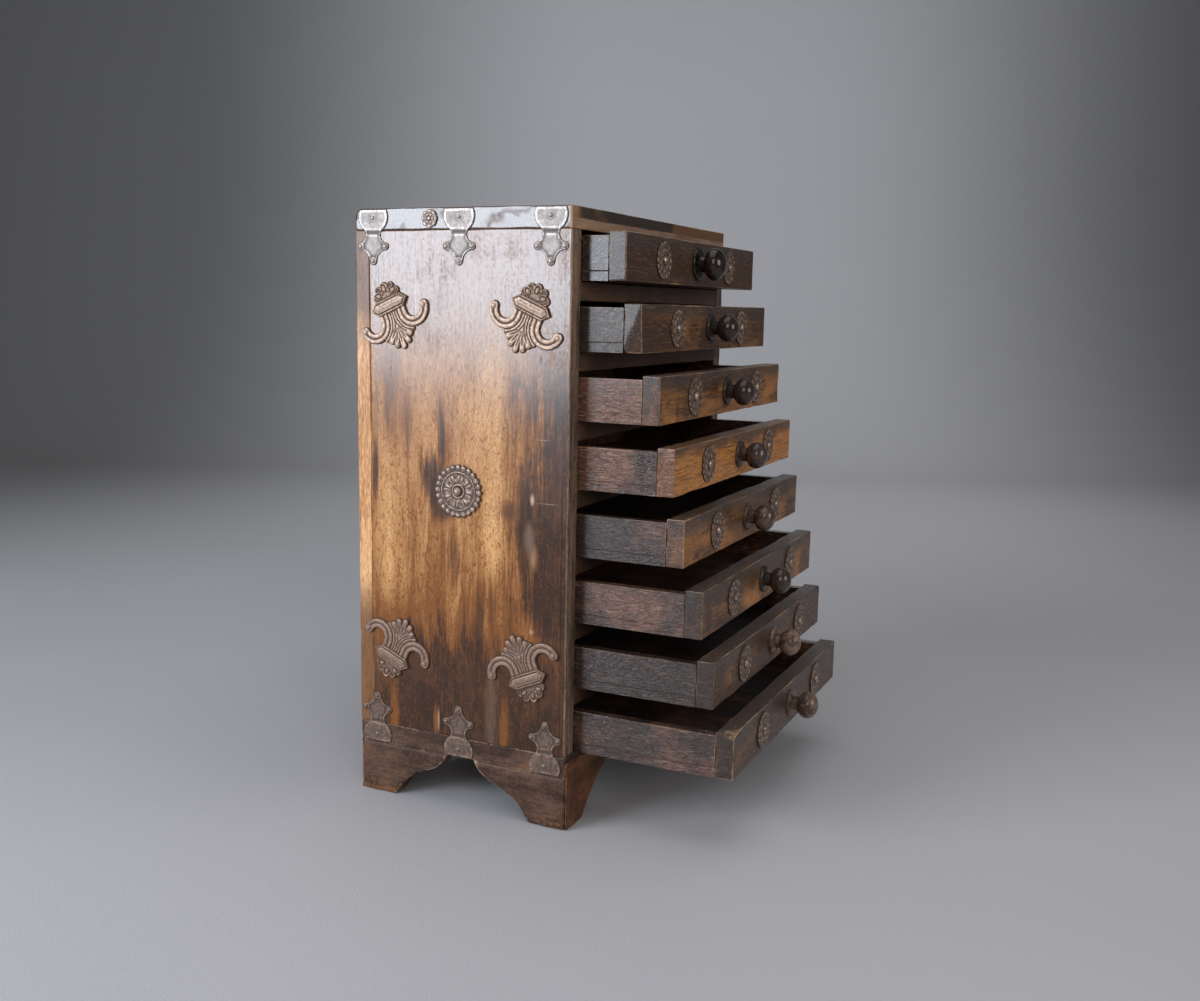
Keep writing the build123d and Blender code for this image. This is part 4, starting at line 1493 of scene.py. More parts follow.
# %% Sizes of a mount
bar_half, bar_top, bar_corner = 15.0, 4.6, 10.5
crown_centre, crown_radius = (0.0, 4.6), 8.2
plume_centre, plume_inner, plume_outer = (16.0, -8.4), 5.2, 12.2
plume_end = -8.0
lobe_radius = 3.0
scallop_angles = [18, 54, 90, 126, 162]
side_ribs = [(10.8, 15.8, 243.0), (14.0, 19.6, 237.0)]
fan_pitch = 1.95
leaf_root = np.array([0.0, -15.0])
petal_root, petal_tip = 1.3, 2.35
petal_tips = [(0.0, -31.0), (5.6, -28.6), (9.4, -24.2)]
neck_middle, neck_half, stem_middle, stem_half = -5.0, 8.0, -14.0, 5.5
print("a mount is about", 2 * (plume_centre[0] + plume_outer), "mm wide")


# %% The outline of a mount
def plume_tip():
    """The middle of the ribbon's round end, on the right plume."""
    return round_the(plume_centre, (plume_inner + plume_outer) / 2, plume_end)


def right_half(places):
    """The places folded onto the right half."""
    return np.stack([np.abs(places[..., 0]), places[..., 1]], -1)


def bar_distance(folded):
    """Distance to the bar's long hexagon."""
    across, up = folded[..., 0], np.abs(folded[..., 1])
    run = bar_half - bar_corner
    end = ((across - bar_half) * bar_top + up * run) / math.hypot(bar_top, run)
    return np.maximum(up - bar_top, end)


def rib_distance(folded, inner, outer, end):
    """Distance to a rib that curls round the plume's centre and ends in a round."""
    across, up = folded[..., 0] - plume_centre[0], folded[..., 1] - plume_centre[1]
    ring = np.abs(np.hypot(across, up) - (inner + outer) / 2) - (outer - inner) / 2
    turn = math.radians(end)
    ribbon = np.maximum(np.maximum(ring, up), up * math.cos(turn) - across * math.sin(turn))
    tip = round_the(plume_centre, (inner + outer) / 2, end)
    return np.minimum(ribbon, disc(folded, tip, (outer - inner) / 2))


def crown_distance(folded):
    """Distance to the crown's round and its scallops."""
    distance = disc(folded, crown_centre, crown_radius)
    for angle in scallop_angles:
        centre = round_the(crown_centre, crown_radius, angle)
        distance = np.minimum(distance, disc(folded, centre, lobe_radius))
    return np.maximum(distance, -folded[..., 1])


def petal_place(folded, tip):
    """How far along a petal each place is, how far off its line, and its distance."""
    run = np.array(tip) - leaf_root
    length = np.linalg.norm(run) - petal_tip
    run /= np.linalg.norm(run)
    from_root = folded - leaf_root
    along = np.clip(from_root @ run / length, 0, 1)
    off = np.linalg.norm(from_root - along[..., None] * length * run, axis=-1)
    return along, off, off - (petal_root + (petal_tip - petal_root) * along)


def leaf_distance(folded):
    """Distance to the leaf's five petals."""
    return np.minimum.reduce([petal_place(folded, tip)[2] for tip in petal_tips])


def mount_outline(places):
    folded = right_half(places)
    across, up = folded[..., 0], folded[..., 1]
    past_neck = across - (plume_centre[0] - plume_inner)
    neck = np.maximum(past_neck, np.abs(up - neck_middle) - neck_half)
    stem = np.maximum(across - stem_half, np.abs(up - stem_middle) - neck_half)
    shapes = [bar_distance(folded), crown_distance(folded), leaf_distance(folded), neck, stem]
    ribs = [(plume_inner, plume_outer, plume_end), *side_ribs]
    return np.minimum.reduce(shapes + [rib_distance(folded, *rib) for rib in ribs])


print("a mount's middle is", -mount_outline(np.zeros(2)).round(2), "mm inside")

# %% [markdown]
# ## The relief of a mount
# Half-round ribs on the plumes, ovals under arches on the crown, hollowed petals on the leaf and
# a roped border round the bar. Later parts cover earlier ones, as they do on the die, and the
# whole falls away softly at its outline.

# %% How high a mount stands
oval_angles = (30, 90)
bar_within = [0, 0.3, 0.7, 1.05, 1.35, 1.7, 2.1, 4.6]
bar_level = [1.4, 2.3, 2.5, 2.3, 1.85, 2.3, 2.7, 3.0]
rope_pitch, rope_height, rope_width = 1.4, 0.3, 0.9
rim_ticks, crown_rays = 34, 9
unevenness = 0.07


def ring_bump(value, middle, width):
    """A soft ridge where a value is near its middle."""
    return np.exp(-(((value - middle) / width) ** 2))


def crown_relief(folded):
    """A rim along the scallops, thin rays, and three large ovals under arches."""
    far = np.hypot(folded[..., 0] - crown_centre[0], folded[..., 1] - crown_centre[1])
    turn = np.arctan2(folded[..., 1] - crown_centre[1], folded[..., 0] - crown_centre[0])
    level = 0.85 + 0.25 * np.abs(np.cos(crown_rays * turn)) * smooth_step(far, 7.5, 3.0)
    level = level + 0.95 * ring_bump(crown_distance(folded), -0.75, 0.45)
    for angle in oval_angles:
        off = (turn - math.radians(angle)) * far
        oval = np.hypot((far - 6.6) / 2.1, off / 1.45)
        arch = 0.75 * ring_bump(oval, 1.65, 0.26) * (far > 4.5)
        level = np.maximum(level, 0.85 + arch)
        level = np.where(oval < 1.25, 0.65, level)
        level = np.maximum(level, 0.75 + 1.3 * boss(oval, 1.0))
    return level


def plume_relief(folded):
    """Two broad ribs, a ticked lip, fine ribs in the fan and a cushion at the tip."""
    across, up = folded[..., 0] - plume_centre[0], np.minimum(folded[..., 1] - plume_centre[1], 0)
    from_plume = np.hypot(across, up)
    half_rib = (plume_outer - plume_inner) / 4
    broad = np.abs((from_plume - plume_inner) % (2 * half_rib) - half_rib) / half_rib
    fine = np.abs((from_plume - plume_outer) % fan_pitch - fan_pitch / 2) / (fan_pitch / 2)
    on_plume = from_plume < plume_outer
    ribbon = 1.0 + 0.85 * np.sqrt(1 - broad**2.6)
    level = np.where(on_plume, ribbon, 0.8 + 0.75 * np.sqrt(1 - fine**2))
    lip = smooth_step(from_plume, plume_outer - 0.9, plume_outer - 0.3) * on_plume
    level = level - lip * (0.25 + 0.25 * np.cos(rim_ticks * np.arctan2(up, across)))
    return np.maximum(level, 0.9 + 1.1 * boss(disc(folded, plume_tip(), 0.0), 3.4))


def leaf_relief(folded):
    """Petals with a groove down the middle, curling up at their tips."""
    leaf = np.full(folded.shape[:-1], 0.6)
    for tip in petal_tips:
        along, off, distance = petal_place(folded, tip)
        wide = petal_root + (petal_tip - petal_root) * along
        curl = 0.65 * smooth_step(along, 0.45, 1.0)
        groove = 0.4 * ring_bump(off, 0.0, 0.28 * wide) * smooth_step(along, 0.98, 0.7)
        hump = 0.75 + (0.65 + curl) * boss(off, wide) - groove
        leaf = np.where(distance < 0, np.maximum(leaf, hump), leaf)
    return leaf


def mount_height(places):
    """How high the stamping stands at each place."""
    folded = right_half(places)
    up = folded[..., 1]
    level = plume_relief(folded)
    on_leaf = (leaf_distance(folded) < 0) & (up < leaf_root[1] - 1.5)
    level = np.where(on_leaf, leaf_relief(folded), level)
    on_crown = (crown_distance(folded) < 0) & (up > bar_top - 0.2)
    level = np.where(on_crown, crown_relief(folded), level)
    within = -bar_distance(folded)
    bar = np.interp(within, bar_within, bar_level)
    rope = rope_height * np.cos(2 * math.pi * folded[..., 0] / rope_pitch)
    rope = rope * (up > bar_top - rope_width) * (within < rope_width)
    level = np.where(within > -0.05, bar + rope, level)
    rounded = smooth_step(-mount_outline(places), -0.05, 0.6)
    uneven = unevenness * soft_noise(places.reshape(-1, 2) @ np.eye(2, 3), 1.6, 4)
    return level * (0.45 + 0.55 * rounded) + uneven.reshape(level.shape)


mount_part = stamped_plate(mount_outline, mount_height, (-28.5, -31.5), (28.5, 16.5))
print("one mount has", len(mount_part[1]), "faces")

# %% [markdown]
# ## Nailing the mounts on
# One mount is tilted and laid at the rear top of the left side, then mirrored to the other three
# places and to the right side. Mirroring turns faces inside out, so it also reverses them.

# %% Lay the mounts
mount_tilt = 23.2
mount_from_rear, mount_from_top, mount_from_foot = 27.3 * mm, 61.8 * mm, 63.0 * mm


def four_mounts(part):
    """One mount laid on the left side and mirrored to all four places."""
    seat_y, seat_z = rear_y - mount_from_rear, case_top_z - mount_from_top
    lower_z = foot_top_z + mount_from_foot
    rear_upper = laid_on_side(part, seat_y, seat_z, mount_tilt)
    rear = [rear_upper, mirrored(rear_upper, 2, (seat_z + lower_z) / 2)]
    return rear + [mirrored(one, 1, middle_y) for one in rear]


left_mounts = four_mounts(mount_part)
right_mounts = [mirrored(one, 0, 0.0) for one in left_mounts]
metal_piece("left_plume_mounts", left_mounts, "mount_brass")
metal_piece("right_plume_mounts", right_mounts, "mount_brass")
print("mounts on each side", len(left_mounts))

# %% [markdown]
# ## The straps
# Thin straps tie the top and bottom boards to the sides. Each has a broad head, a waist, two side
# lobes and a pointed tail, all drawn as arcs. The head lies flat and bright. Below the waist only
# the border and the places of the nails rise.

# %% The outline of a strap
strap_thick = 0.9
head_edge, head_side, head_end = (10.4, -0.6), (11.6, -6.0), (8.4, -13.0)
waist, lobe_start, lobe_side, lobe_end = (5.9, -18.0), (9.6, -21.8), (12.2, -24.4), (9.6, -27.0)
hollow, tail_side, tail_round, tail_tip = (5.0, -29.0), (3.0, -33.6), (2.12, -35.72), (0.0, -36.6)
strap_nails = [(0.0, -6.0), (-9.6, -24.4), (9.6, -24.4), (0.0, -33.6)]
strap_from_corner = 14.3 * mm


def arc_through(start, middle, end, steps=12):
    """Places along the circle through three of them, the start left out."""
    # Places as complex numbers, because there a turn is a multiplication.
    a, b, c = (complex(*place) for place in (start, middle, end))
    w = (c - a) / (b - a)
    centre = a + (b - a) * (w - abs(w) ** 2) / (2j * w.imag)
    first, mid, last = (np.angle(place - centre) for place in (a, b, c))
    turn = (last - first) % (2 * math.pi)
    if (mid - first) % (2 * math.pi) > turn:
        turn -= 2 * math.pi
    places = centre + (a - centre) * np.exp(1j * turn * np.linspace(0, 1, steps + 1)[1:])
    return np.stack([places.real, places.imag], -1)


def strap_loop():
    arcs = [
        (head_edge, head_side, head_end),
        (head_end, waist, lobe_start),
        (lobe_start, lobe_side, lobe_end),
        (lobe_end, hollow, tail_side),
        (tail_side, tail_round, tail_tip),
    ]
    right = np.concatenate([[head_edge]] + [arc_through(*arc) for arc in arcs])
    return np.concatenate([right, right[-2::-1] * [-1, 1]])


def loop_distance(places, loop):
    """Signed distance to a closed outline: negative inside."""
    flat = places.reshape(-1, 2)
    nearest = np.full(len(flat), np.inf)
    crossings = np.zeros(len(flat), int)
    for start, end in zip(loop, np.roll(loop, -1, axis=0)):
        run = end - start
        share = np.clip((flat - start) @ run / (run @ run), 0, 1)
        nearest = np.minimum(nearest, np.linalg.norm(flat - start - share[:, None] * run, axis=1))
        spans = (start[1] > flat[:, 1]) != (end[1] > flat[:, 1])
        rise = run[1] if run[1] else 1.0
        crossings += spans & (flat[:, 0] < start[0] + (flat[:, 1] - start[1]) * run[0] / rise)
    return np.where(crossings % 2 == 1, -nearest, nearest).reshape(places.shape[:-1])


strap_line = strap_loop()


def strap_outline(places):
    return loop_distance(places, strap_line)


print("the strap's outline has", len(strap_line), "points")

# %% Press the straps
waist_line = -16.0
nail_seat_outer, nail_seat_inner = 3.4, 1.9


def strap_height(places):
    """A flat head, then a pressed waist with a raised border."""
    within = -strap_outline(places)
    up = places[..., 1]
    head = smooth_step(up, -15.2, -13.6)
    lower = 0.38 + 0.34 * ring_bump(within, 0.7, 0.45)
    crease = 0.16 * ring_bump(up, waist_line, 0.7)
    uneven = soft_noise(places.reshape(-1, 2) @ np.eye(2, 3), 4.0, 8).reshape(up.shape)
    level = head * (0.8 + 0.06 * uneven) + (1 - head) * (lower - crease)
    for nail in strap_nails:
        near = np.hypot(places[..., 0] - nail[0], places[..., 1] - nail[1])
        seat = smooth_step(near, nail_seat_outer, nail_seat_inner)
        level = np.maximum(level, strap_thick * seat)
    return np.minimum(level, strap_thick) * (0.5 + 0.5 * smooth_step(within, 0, 0.5))


strap_part = stamped_plate(strap_outline, strap_height, (-12.5, -37.0), (12.5, -0.4), 0.42, 0.3)
print("one strap has", len(strap_part[1]), "faces")

# %% [markdown]
# ## Twelve straps
# Three hang from the top on each side. The bottom three are the same, turned over, and duller:
# a darker copy of the brass, painted shade with some dirt.

# %% Lay the straps
strap_places = [front_y + strap_from_corner, middle_y, rear_y - strap_from_corner]
top_left = [laid_on_side(strap_part, y, case_top_z) for y in strap_places]
turn_over_z = (case_top_z + foot_top_z) / 2
bottom_left = [mirrored(one, 2, turn_over_z) for one in top_left]


def both_sides(parts):
    """Parts of the left side and their mirror images on the right."""
    return parts + [mirrored(one, 0, 0.0) for one in parts]


# Top straps: grey crests partly painted sheen. Bottom straps: darker brass, painted shade with some
# dirt.
metal_piece("top_straps", both_sides(top_left), "strap_brass", "strap_brass")
metal_piece("bottom_straps", both_sides(bottom_left), "dull_strap_brass", "strap_brass")
print("straps", 2 * (len(top_left) + len(bottom_left)))

# %% [markdown]
# ## Round stampings
# Medallions and rosettes are round, so their relief is a formula of the distance and the angle. A
# polar grid follows it, one spoke after another, with a back and a rim that close it.

# %% Round plates
def round_stamping(rim, height, rings, spokes):
    """Points in millimetres, faces and relief of a round plate."""
    spoke_angles = np.linspace(0, 2 * math.pi, spokes, endpoint=False)
    angle, share = np.meshgrid(spoke_angles, np.linspace(0, 1, rings + 1)[1:], indexing="ij")
    radius = rim(angle) * share
    level = height(radius, angle)
    mean = level.copy()
    for _ in range(10):
        sides = (np.roll(mean, 1, 0) + np.roll(mean, -1, 0)) / 2
        ends = np.concatenate([mean[:, :1], mean, mean[:, -1:]], 1)
        mean = (sides + (ends[:, :-2] + ends[:, 2:]) / 2) / 2
    relief = np.clip(0.5 + (level - mean) / 0.3, 0, 1)
    across = np.stack([radius * np.cos(angle), radius * np.sin(angle)], -1)
    front = np.concatenate([across, level[..., None]], -1).reshape(-1, 3)
    rear = np.concatenate([across[:, -1], np.zeros((spokes, 1))], -1)
    top = [0.0, 0.0, height(np.zeros((1, 1)), np.zeros((1, 1)))[0, 0]]
    points = np.concatenate([front, rear, [top, [0.0, 0.0, 0.0]]])
    count = spokes * rings
    faces = []
    for spoke in range(spokes):
        ahead = (spoke + 1) % spokes
        here, there = spoke * rings, ahead * rings
        faces.append([count + spokes, here, there])
        for ring in range(rings - 1):
            faces.append([here + ring, here + ring + 1, there + ring + 1, there + ring])
        faces.append([here + rings - 1, count + spoke, count + ahead, there + rings - 1])
        faces.append([count + spokes + 1, count + ahead, count + spoke])
    worth = np.concatenate([relief.reshape(-1), np.zeros(spokes), [1.0, 0.0]])
    return points, faces, {"relief": worth}


def bead(value, middle, half):
    return boss(value - middle, half)


def petals(radius, angle, count, inner, outer, turn=0.0):
    """Rounded petals between two radii."""
    middle = (inner + outer) / 2
    width = np.abs(np.cos(count * (angle - turn) / 2))
    return np.sqrt(np.clip(width, 0, 1)) * bead(radius, middle, (outer - inner) / 2)


print("round stamping tools ready")

# %% [markdown]
# ## The medallions
# Round the rim run 24 scallops, which are true circles, then come a thin ring, eight heart-shaped
# petals, a washer and a boss that stands out most.

# %% Press the medallions
medallion_scallops, medallion_radius, scallop_radius = 24, 15.8, 1.9
boss_radius = 2.9
medallion_pitch = 2 * math.pi / medallion_scallops


def from_scallop(angle):
    """The angle from the nearest scallop's middle."""
    return (angle + medallion_pitch / 2) % medallion_pitch - medallion_pitch / 2


def medallion_rim(angle):
    off = from_scallop(angle)
    past = scallop_radius**2 - (medallion_radius * np.sin(off)) ** 2
    scallop = medallion_radius * np.cos(off) + np.sqrt(np.maximum(past, 0))
    return np.where(past > 0, scallop, medallion_radius)


def medallion_height(radius, angle):
    """The medallion's relief, a little uneven all over."""
    off = from_scallop(angle)
    far = np.hypot(radius * np.cos(off) - 15.4, radius * np.sin(off))
    level = np.full(radius.shape, 0.8)
    level = np.maximum(level, 0.6 + 1.15 * boss(far, 2.1))
    level = level - 0.35 * ring_bump(far, 0.9, 0.35) * (radius < 15.4)
    level = np.maximum(level, 0.7 + 0.95 * bead(radius, 12.5, 0.6))
    heart = np.abs(np.cos(4 * angle + 0.8)) ** 0.6
    tall = heart * bead(radius, 8.3, 3.1)
    level = np.maximum(level, 0.65 + 1.0 * tall - 0.35 * ring_bump(heart, 1, 0.02))
    level = np.maximum(level, 0.8 + 0.7 * bead(radius, 4.3, 0.7))
    level = np.maximum(level, 1.2 + 2.8 * boss(radius, boss_radius))
    flat = np.stack([radius * np.cos(angle), radius * np.sin(angle), 0 * radius], -1).reshape(-1, 3)
    uneven = soft_noise(flat, 2.2, 6).reshape(radius.shape) * smooth_step(radius, 3.0, 5.0)
    return level * (1 + 0.16 * uneven)


medallion_z = sum(corners_of("left_plume_mounts"))[2] / 2
medallion_part = round_stamping(medallion_rim, medallion_height, 54, 240)
side_medallion = laid_on_side(medallion_part, middle_y, medallion_z)
metal_piece("side_medallions", both_sides([side_medallion]), "medallion_brass")
print("medallion", len(medallion_part[1]), "faces")

# %% [markdown]
# ## The small rosettes
# One sits on each end of the top board, between the straps. Its rim follows the cosine of the
# angle, which gives eight lobes without any corner.

# %% Press the band rosettes
def small_rosette_height(radius, angle):
    """Eight rim lobes, a flower of six petals and a button."""
    level = 0.55 + 0.75 * bead(radius, 4.7, 1.2) * np.abs(np.cos(4 * angle)) ** 0.5
    level = np.maximum(level, 0.55 + 0.85 * petals(radius, angle, 6, 1.4, 3.6))
    return np.maximum(level, 1.0 + 0.8 * boss(radius, 1.5))


def lobed_rim(radius, lobes, depth):
    """A rim that swells and sinks by a share of its radius."""
    return lambda angle: radius * (1 - depth + depth * np.sqrt(np.abs(np.cos(lobes * angle))))


band_low, band_high = corners_of("band_rosettes")
band_middle = (band_low + band_high) / 2
band_radius = (band_high[2] - band_low[2]) / 2 / mm
band_part = round_stamping(lobed_rim(band_radius, 4, 0.12), small_rosette_height, 24, 96)
band_rosette = laid_on_side(band_part, band_middle[1], band_middle[2])
# Its greyish crest is partly a painted sheen of the lamp.
metal_piece("band_rosettes", both_sides([band_rosette]), "band_rosette_brass")
print("small rosette", len(band_part[1]), "faces")

# %% [markdown]
# ## The drawers' rosettes
# Each drawer has two, thin as lace. They ride with their drawer, as one piece on its body.

# %% Press the drawer rosettes
def drawer_rosette_height(radius, angle):
    """A lace of beads and petals, and a boss."""
    swirl = np.abs(np.cos(8 * angle))
    layers = [
        0.4 + 0.85 * np.sqrt(swirl) * bead(radius, 11.1, 1.5),
        0.4 + 0.55 * bead(radius, 9.2, 0.45),
        0.35 + 0.85 * petals(radius, angle, 8, 4.2, 8.6, math.pi / 16),
        0.35 + 0.45 * petals(radius, angle, 16, 7.2, 9.0),
        0.5 + 0.5 * bead(radius, 4.0, 0.6),
        0.8 + 2.0 * boss(radius, boss_radius),
    ]
    return np.maximum.reduce(layers)


def laid_on_front(part, x, face_y, z):
    """A plate laid on a drawer's front."""
    points, faces, numbers = part
    across, up, out = points.T * mm
    return np.stack([x + across, face_y - out, z + up], -1), faces, numbers


rosette_low, rosette_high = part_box("drawer_1_rosettes")
rosette_radius = (rosette_high[2] - rosette_low[2]) / 2 / mm
rosette_x = rosette_high[0] - rosette_radius * mm
rosette_part = round_stamping(lobed_rim(rosette_radius, 8, 0.07), drawer_rosette_height, 38, 192)
for name in drawer_names:
    node = name + "_rosettes"
    low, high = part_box(node)
    middle_z = (low[2] + high[2]) / 2
    pair = [laid_on_front(rosette_part, side * rosette_x, high[1], middle_z) for side in (-1, 1)]
    metal_piece(node, pair, "rosette_brass", body=name)
print("rosette", len(rosette_part[1]), "faces")

# %% [markdown]
# ## Tacks, pins and nails
# One rule makes them all: a tack is put on each point of a starting mesh and stands along the
# direction stored there. Each is turned by chance, from a fixed seed, and its head is half of a
# flattened ball over a shank.

# %% The rule of a tack
whole_turn = 6.283
tack_measures = ("Head diameter", "Head height", "Shank diameter", "Shank length")


def tack_rule():
    """A tack on every point, standing along the point's normal."""
    rule = Rule("tacks", *tack_measures, "Seed")
    round_sizes = {"Segments": 14, "Rings": 10, "Radius": 1.0}
    ball = rule.node("GeometryNodeMeshUVSphere", inputs=round_sizes)
    spot = rule.node("GeometryNodeInputPosition")
    x, y, z = rule.axes(spot, "XYZ")
    radius = rule.size("Head diameter") * 0.5
    axes = {0: x * radius, 1: y * radius, 2: z.most(0.0) * rule.size("Head height")}
    cap = rule.node("ShaderNodeCombineXYZ", inputs=axes)
    head = rule.node("GeometryNodeSetPosition", inputs={"Geometry": ball, "Position": cap})
    length = rule.size("Shank length")
    shank_sizes = {"Vertices": 8, "Radius": rule.size("Shank diameter") * 0.5, "Depth": length}
    shank = rule.node("GeometryNodeMeshCylinder", inputs=shank_sizes)
    drop = rule.node("ShaderNodeCombineXYZ", inputs={2: length * -0.5})
    shank = rule.node("GeometryNodeTransform", inputs={"Geometry": shank, "Translation": drop})
    both = rule.tree.nodes.new("GeometryNodeJoinGeometry")
    rule.tree.links.new(head.socket, both.inputs[0])
    rule.tree.links.new(shank.socket, both.inputs[0])
    tack = Pattern(rule, both.outputs[0])
    vectors = {"data_type": "FLOAT_VECTOR"}
    direction = rule.node("GeometryNodeInputNamedAttribute", vectors, {"Name": "direction"})
    stand = rule.node("FunctionNodeAlignRotationToVector", {"axis": "Z"}, {"Vector": direction})
    span = {2: 0.0, 3: whole_turn, "Seed": rule.size("Seed")}
    chance = rule.node("FunctionNodeRandomValue", {"data_type": "FLOAT"}, span, output=1)
    spin = rule.node("ShaderNodeCombineXYZ", inputs={2: chance})
    spin = rule.node("FunctionNodeEulerToRotation", inputs={0: spin})
    local = {"rotation_space": "LOCAL"}
    turned = rule.node("FunctionNodeRotateRotation", local, {0: stand, 1: spin})
    places = {"Points": rule.size("Geometry"), "Instance": tack, "Rotation": turned}
    rule.end(rule.node("GeometryNodeInstanceOnPoints", inputs=places))
    return rule


tacks = tack_rule()
print("the tacks' rule has", len(tacks.tree.nodes), "nodes")

# %% Tacks as a piece
def starting_points(groups):
    """Bare points, each with the direction in which its tack stands."""
    places = [place for group, _ in groups for place in group]
    ways = [way for group, way in groups for _ in group]
    mesh = bpy.data.meshes.new("places")
    mesh.from_pydata([tuple(map(float, place)) for place in places], [], [])
    layer = mesh.attributes.new("direction", "FLOAT_VECTOR", "POINT")
    layer.data.foreach_set("vector", np.array(ways, dtype=np.float32).reshape(-1))
    return mesh


def tack_piece(node, groups, look, slot, sizes):
    """Tacks in groups of (places, direction), as one piece of the case."""
    mesh = tacks.made(starting_points(groups), metals[look], Seed=7, **sizes)
    mesh = with_outward_faces(mesh)
    set_number(mesh, "relief", head_relief)
    return finished_piece(node + "_metal", mesh, metals[look], "case", slot, node)


head_relief = 0.75
print("tack tools ready")

# %% [markdown]
# ## Pins of the straps and mounts
# Their places are laid and mirrored by the same functions as the plates, as parts that have
# points and no faces, so a pin can't miss its plate.

# %% Drive the tacks
tack_sizes = dict(zip(tack_measures, (3.4 * mm, 1.0 * mm, 1.4 * mm, 8.0 * mm)))
no_faces = np.empty((0, 4), int)
nail_spots = np.array([(across, up, strap_thick) for across, up in strap_nails])
pin_across, pin_up = plume_tip()
pin_spots = np.array([(pin_across, pin_up, 2.0), (-pin_across, pin_up, 2.0)])
left_way, right_way, up_way, rear_way = (-1, 0, 0), (1, 0, 0), (0, 0, 1), (0, 1, 0)


def places_of(parts):
    return [point for part in parts for point in part[0]]


strap_spots = [laid_on_side((nail_spots, no_faces, {}), y, case_top_z) for y in strap_places]
strap_spots += [mirrored(one, 2, turn_over_z) for one in strap_spots]
mount_spots = four_mounts((pin_spots, no_faces, {}))
for node, spots, look in (
    ("strap_nails", strap_spots, "strap_pin_brass"),
    ("mount_pins", mount_spots, "mount_pin_brass"),
):
    right = [mirrored(one, 0, 0.0) for one in spots]
    groups = [(places_of(spots), left_way), (places_of(right), right_way)]
    tack_piece(node, groups, look, "pin_metal", tack_sizes)
print("tacks", 2 * (len(places_of(strap_spots)) + len(places_of(mount_spots))))

# %% [markdown]
# ## Nails of the top and back
# The same rule drives the iron nails, a little sunk, into the dishes made for them above.

# %% Drive the nails
nail_sizes = dict(zip(tack_measures, (3.4 * mm, 0.8 * mm, 1.8 * mm, 22.0 * mm)))
sunk = 0.8 * mm
case_nail_groups = [
    (np.array(top_nails) - [0, 0, sunk], up_way),
    (np.array(back_nails) - [0, sunk, 0], rear_way),
]
nail_piece = tack_piece("case_nails", case_nail_groups, "nail_iron", "nail_iron", nail_sizes)
print("nails", len(nail_piece.data.polygons), "faces")

# %% [markdown]
# ## Floor and backdrop
# The floor runs into a curved backdrop, so no horizon shows. Both are turned to face the camera,
# and the paper is painted lighter behind the chest than at its sides, a painted pool of light as
# under a spot.

# %% Lay the floor and the sweep
camera_azimuth = -64.927
view_turn = math.radians(camera_azimuth)
light_middle, light_edge = 0.25, 1.45


def studio_finish():
    """Pale grey with the faintest mottling, its wall darker at the sides round a painted pool of
    light.
    """
    paper = Finish("studio_paper")
    cloud = paper.noise(1.6, 3.0, 0.5)
    floor = paper.mix(paper.rise(cloud, 0.35, 0.65), (0.45, 0.445, 0.47), (0.48, 0.475, 0.5))
    x, y = paper.axis("X"), paper.axis("Y")
    aside = x * math.cos(view_turn) + y * math.sin(view_turn)
    away = y * math.cos(view_turn) - x * math.sin(view_turn)
    # Painted light: a pool of light painted on the wall behind the chest, fading to its sides.
    painted_spot_falloff = paper.rise(abs(aside - light_middle), light_middle, light_edge)
    wall = paper.mix(painted_spot_falloff, (0.82, 0.82, 0.85), (0.26, 0.26, 0.26))
    colour = paper.mix(paper.rise(away, 0.3, 1.5), floor, wall)
    grit = paper.noise(700.0, 2.0)
    bumps = paper.bump(grit, 0.2 * mm)
    return paper.set(Base_Color=colour, Roughness=0.75 + (grit - 0.5) * 0.1, Normal=bumps)


def swept_floor(width=6.0, front=-3.0, bend_start=1.6, bend=0.9, height=3.4):
    """A floor that bends up into a wall behind the object."""
    turn = np.linspace(0, math.pi / 2, 24)
    section = [(front, 0.0), (bend_start, 0.0)]
    for angle in turn[1:]:
        section.append((bend_start + bend * math.sin(angle), bend * (1 - math.cos(angle))))
    section.append((bend_start + bend, height))
    count = len(section)
    points = [(side * width / 2, depth, rise) for side in (-1, 1) for depth, rise in section]
    faces = [(i, i + 1, count + i + 1, count + i)[::-1] for i in range(count - 1)]
    return points, faces


sweep_points, sweep_faces = swept_floor()
sweep_mesh = tidy_mesh("sweep", sweep_points, sweep_faces)
sweep_mesh.materials.append(studio_finish())
sweep_mesh.shade_smooth()
sweep_mesh.transform(Matrix.Rotation(view_turn, 4, "Z"))
sweep = in_scene("sweep", sweep_mesh)
print("floor and sweep", len(sweep_mesh.polygons), "faces")

# %% [markdown]
# ## Lights
# A soft lamp to the left and behind is what the upper side panel mirrors. A wide one overhead and
# one at the side light everything gently, and a small one in front puts the bright spots on the
# knobs. A lamp's power follows from its size and brightness.

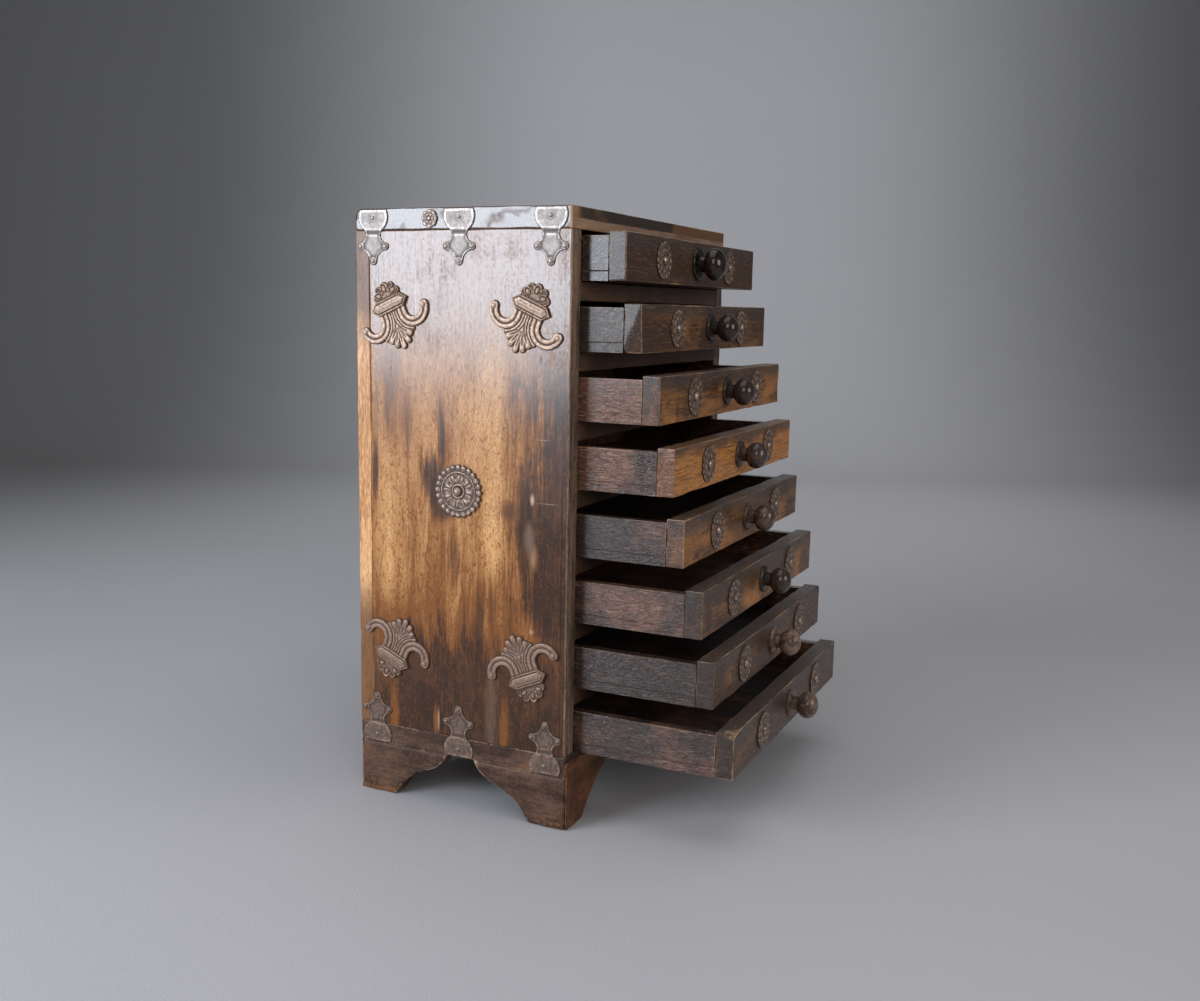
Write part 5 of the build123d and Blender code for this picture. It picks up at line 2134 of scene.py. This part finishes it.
# %% Set the lights
def soft_lamp(name, place, towards, width, height, radiance, tint=(1.0, 1.0, 1.0)):
    """An area lamp of some brightness that the camera doesn't see."""
    lamp = bpy.data.lights.new(name, "AREA")
    lamp.shape = "RECTANGLE"
    lamp.size = width
    lamp.size_y = height
    lamp.energy = radiance * math.pi * width * height
    lamp.color = tint
    holder = in_scene(name, lamp)
    holder.location = place
    holder.rotation_euler = (Vector(towards) - Vector(place)).to_track_quat("-Z", "Y").to_euler()
    holder.visible_camera = False
    return holder


aim = (0.0, middle_y, 0.2)
upper_panel = (-0.14, middle_y, 0.3)
softbox_place = (-1.34, middle_y + 0.76, 0.6)
soft_lamp("left_softbox", softbox_place, upper_panel, 0.85, 0.74, 10.3, (0.84, 0.91, 1.0))
soft_lamp("overhead", (-0.2, 0.0, 1.9), aim, 1.8, 1.8, 1.3)
soft_lamp("side_fill", (-1.35, -0.95, 0.95), aim, 0.8, 0.8, 3.4, (1.0, 0.97, 0.93))
soft_lamp("front_fill", (0.15, -1.6, 0.6), aim, 0.6, 0.6, 5.0, (1.0, 0.98, 0.95))
world = bpy.data.worlds.new("studio")
bpy.context.scene.world = world
world.use_nodes = True
sky = world.node_tree.nodes["Background"]
sky.inputs["Color"].default_value = (0.085, 0.085, 0.088, 1.0)
sky.inputs["Strength"].default_value = 1.0
bpy.context.scene.view_settings.view_transform = "Standard"
print("lamps", len(bpy.data.lights))

# %% [markdown]
# ## The camera
# It stands to the left of the chest's front, a little above its middle, and leans by one degree.
# Its axes are worked out from three angles, because a matrix made of three axes can't be turned
# wrongly by an order of rotations.

# %% Place the camera
camera_elevation, camera_roll = 9.0225, 1.133
camera_data = bpy.data.cameras.new("camera")
camera_data.lens = 36.12
camera_data.sensor_width = 36.0
camera = in_scene("camera", camera_data)
camera_place = Vector((-0.80123, -0.3481, 0.33788))
elevation, roll = math.radians(camera_elevation), math.radians(camera_roll)
level = math.cos(elevation)
back = Vector((math.sin(view_turn) * level, -math.cos(view_turn) * level, math.sin(elevation)))
right = (-back).cross(Vector((0, 0, 1))).normalized()
up = right.cross(-back)
rolled_right = right * math.cos(roll) + up * math.sin(roll)
rolled_up = up * math.cos(roll) - right * math.sin(roll)
turned_axes = Matrix((rolled_right, rolled_up, back)).transposed().to_4x4()
camera.matrix_world = Matrix.Translation(camera_place) @ turned_axes
bpy.context.scene.camera = camera
print("camera at", [round(value, 3) for value in camera.location])
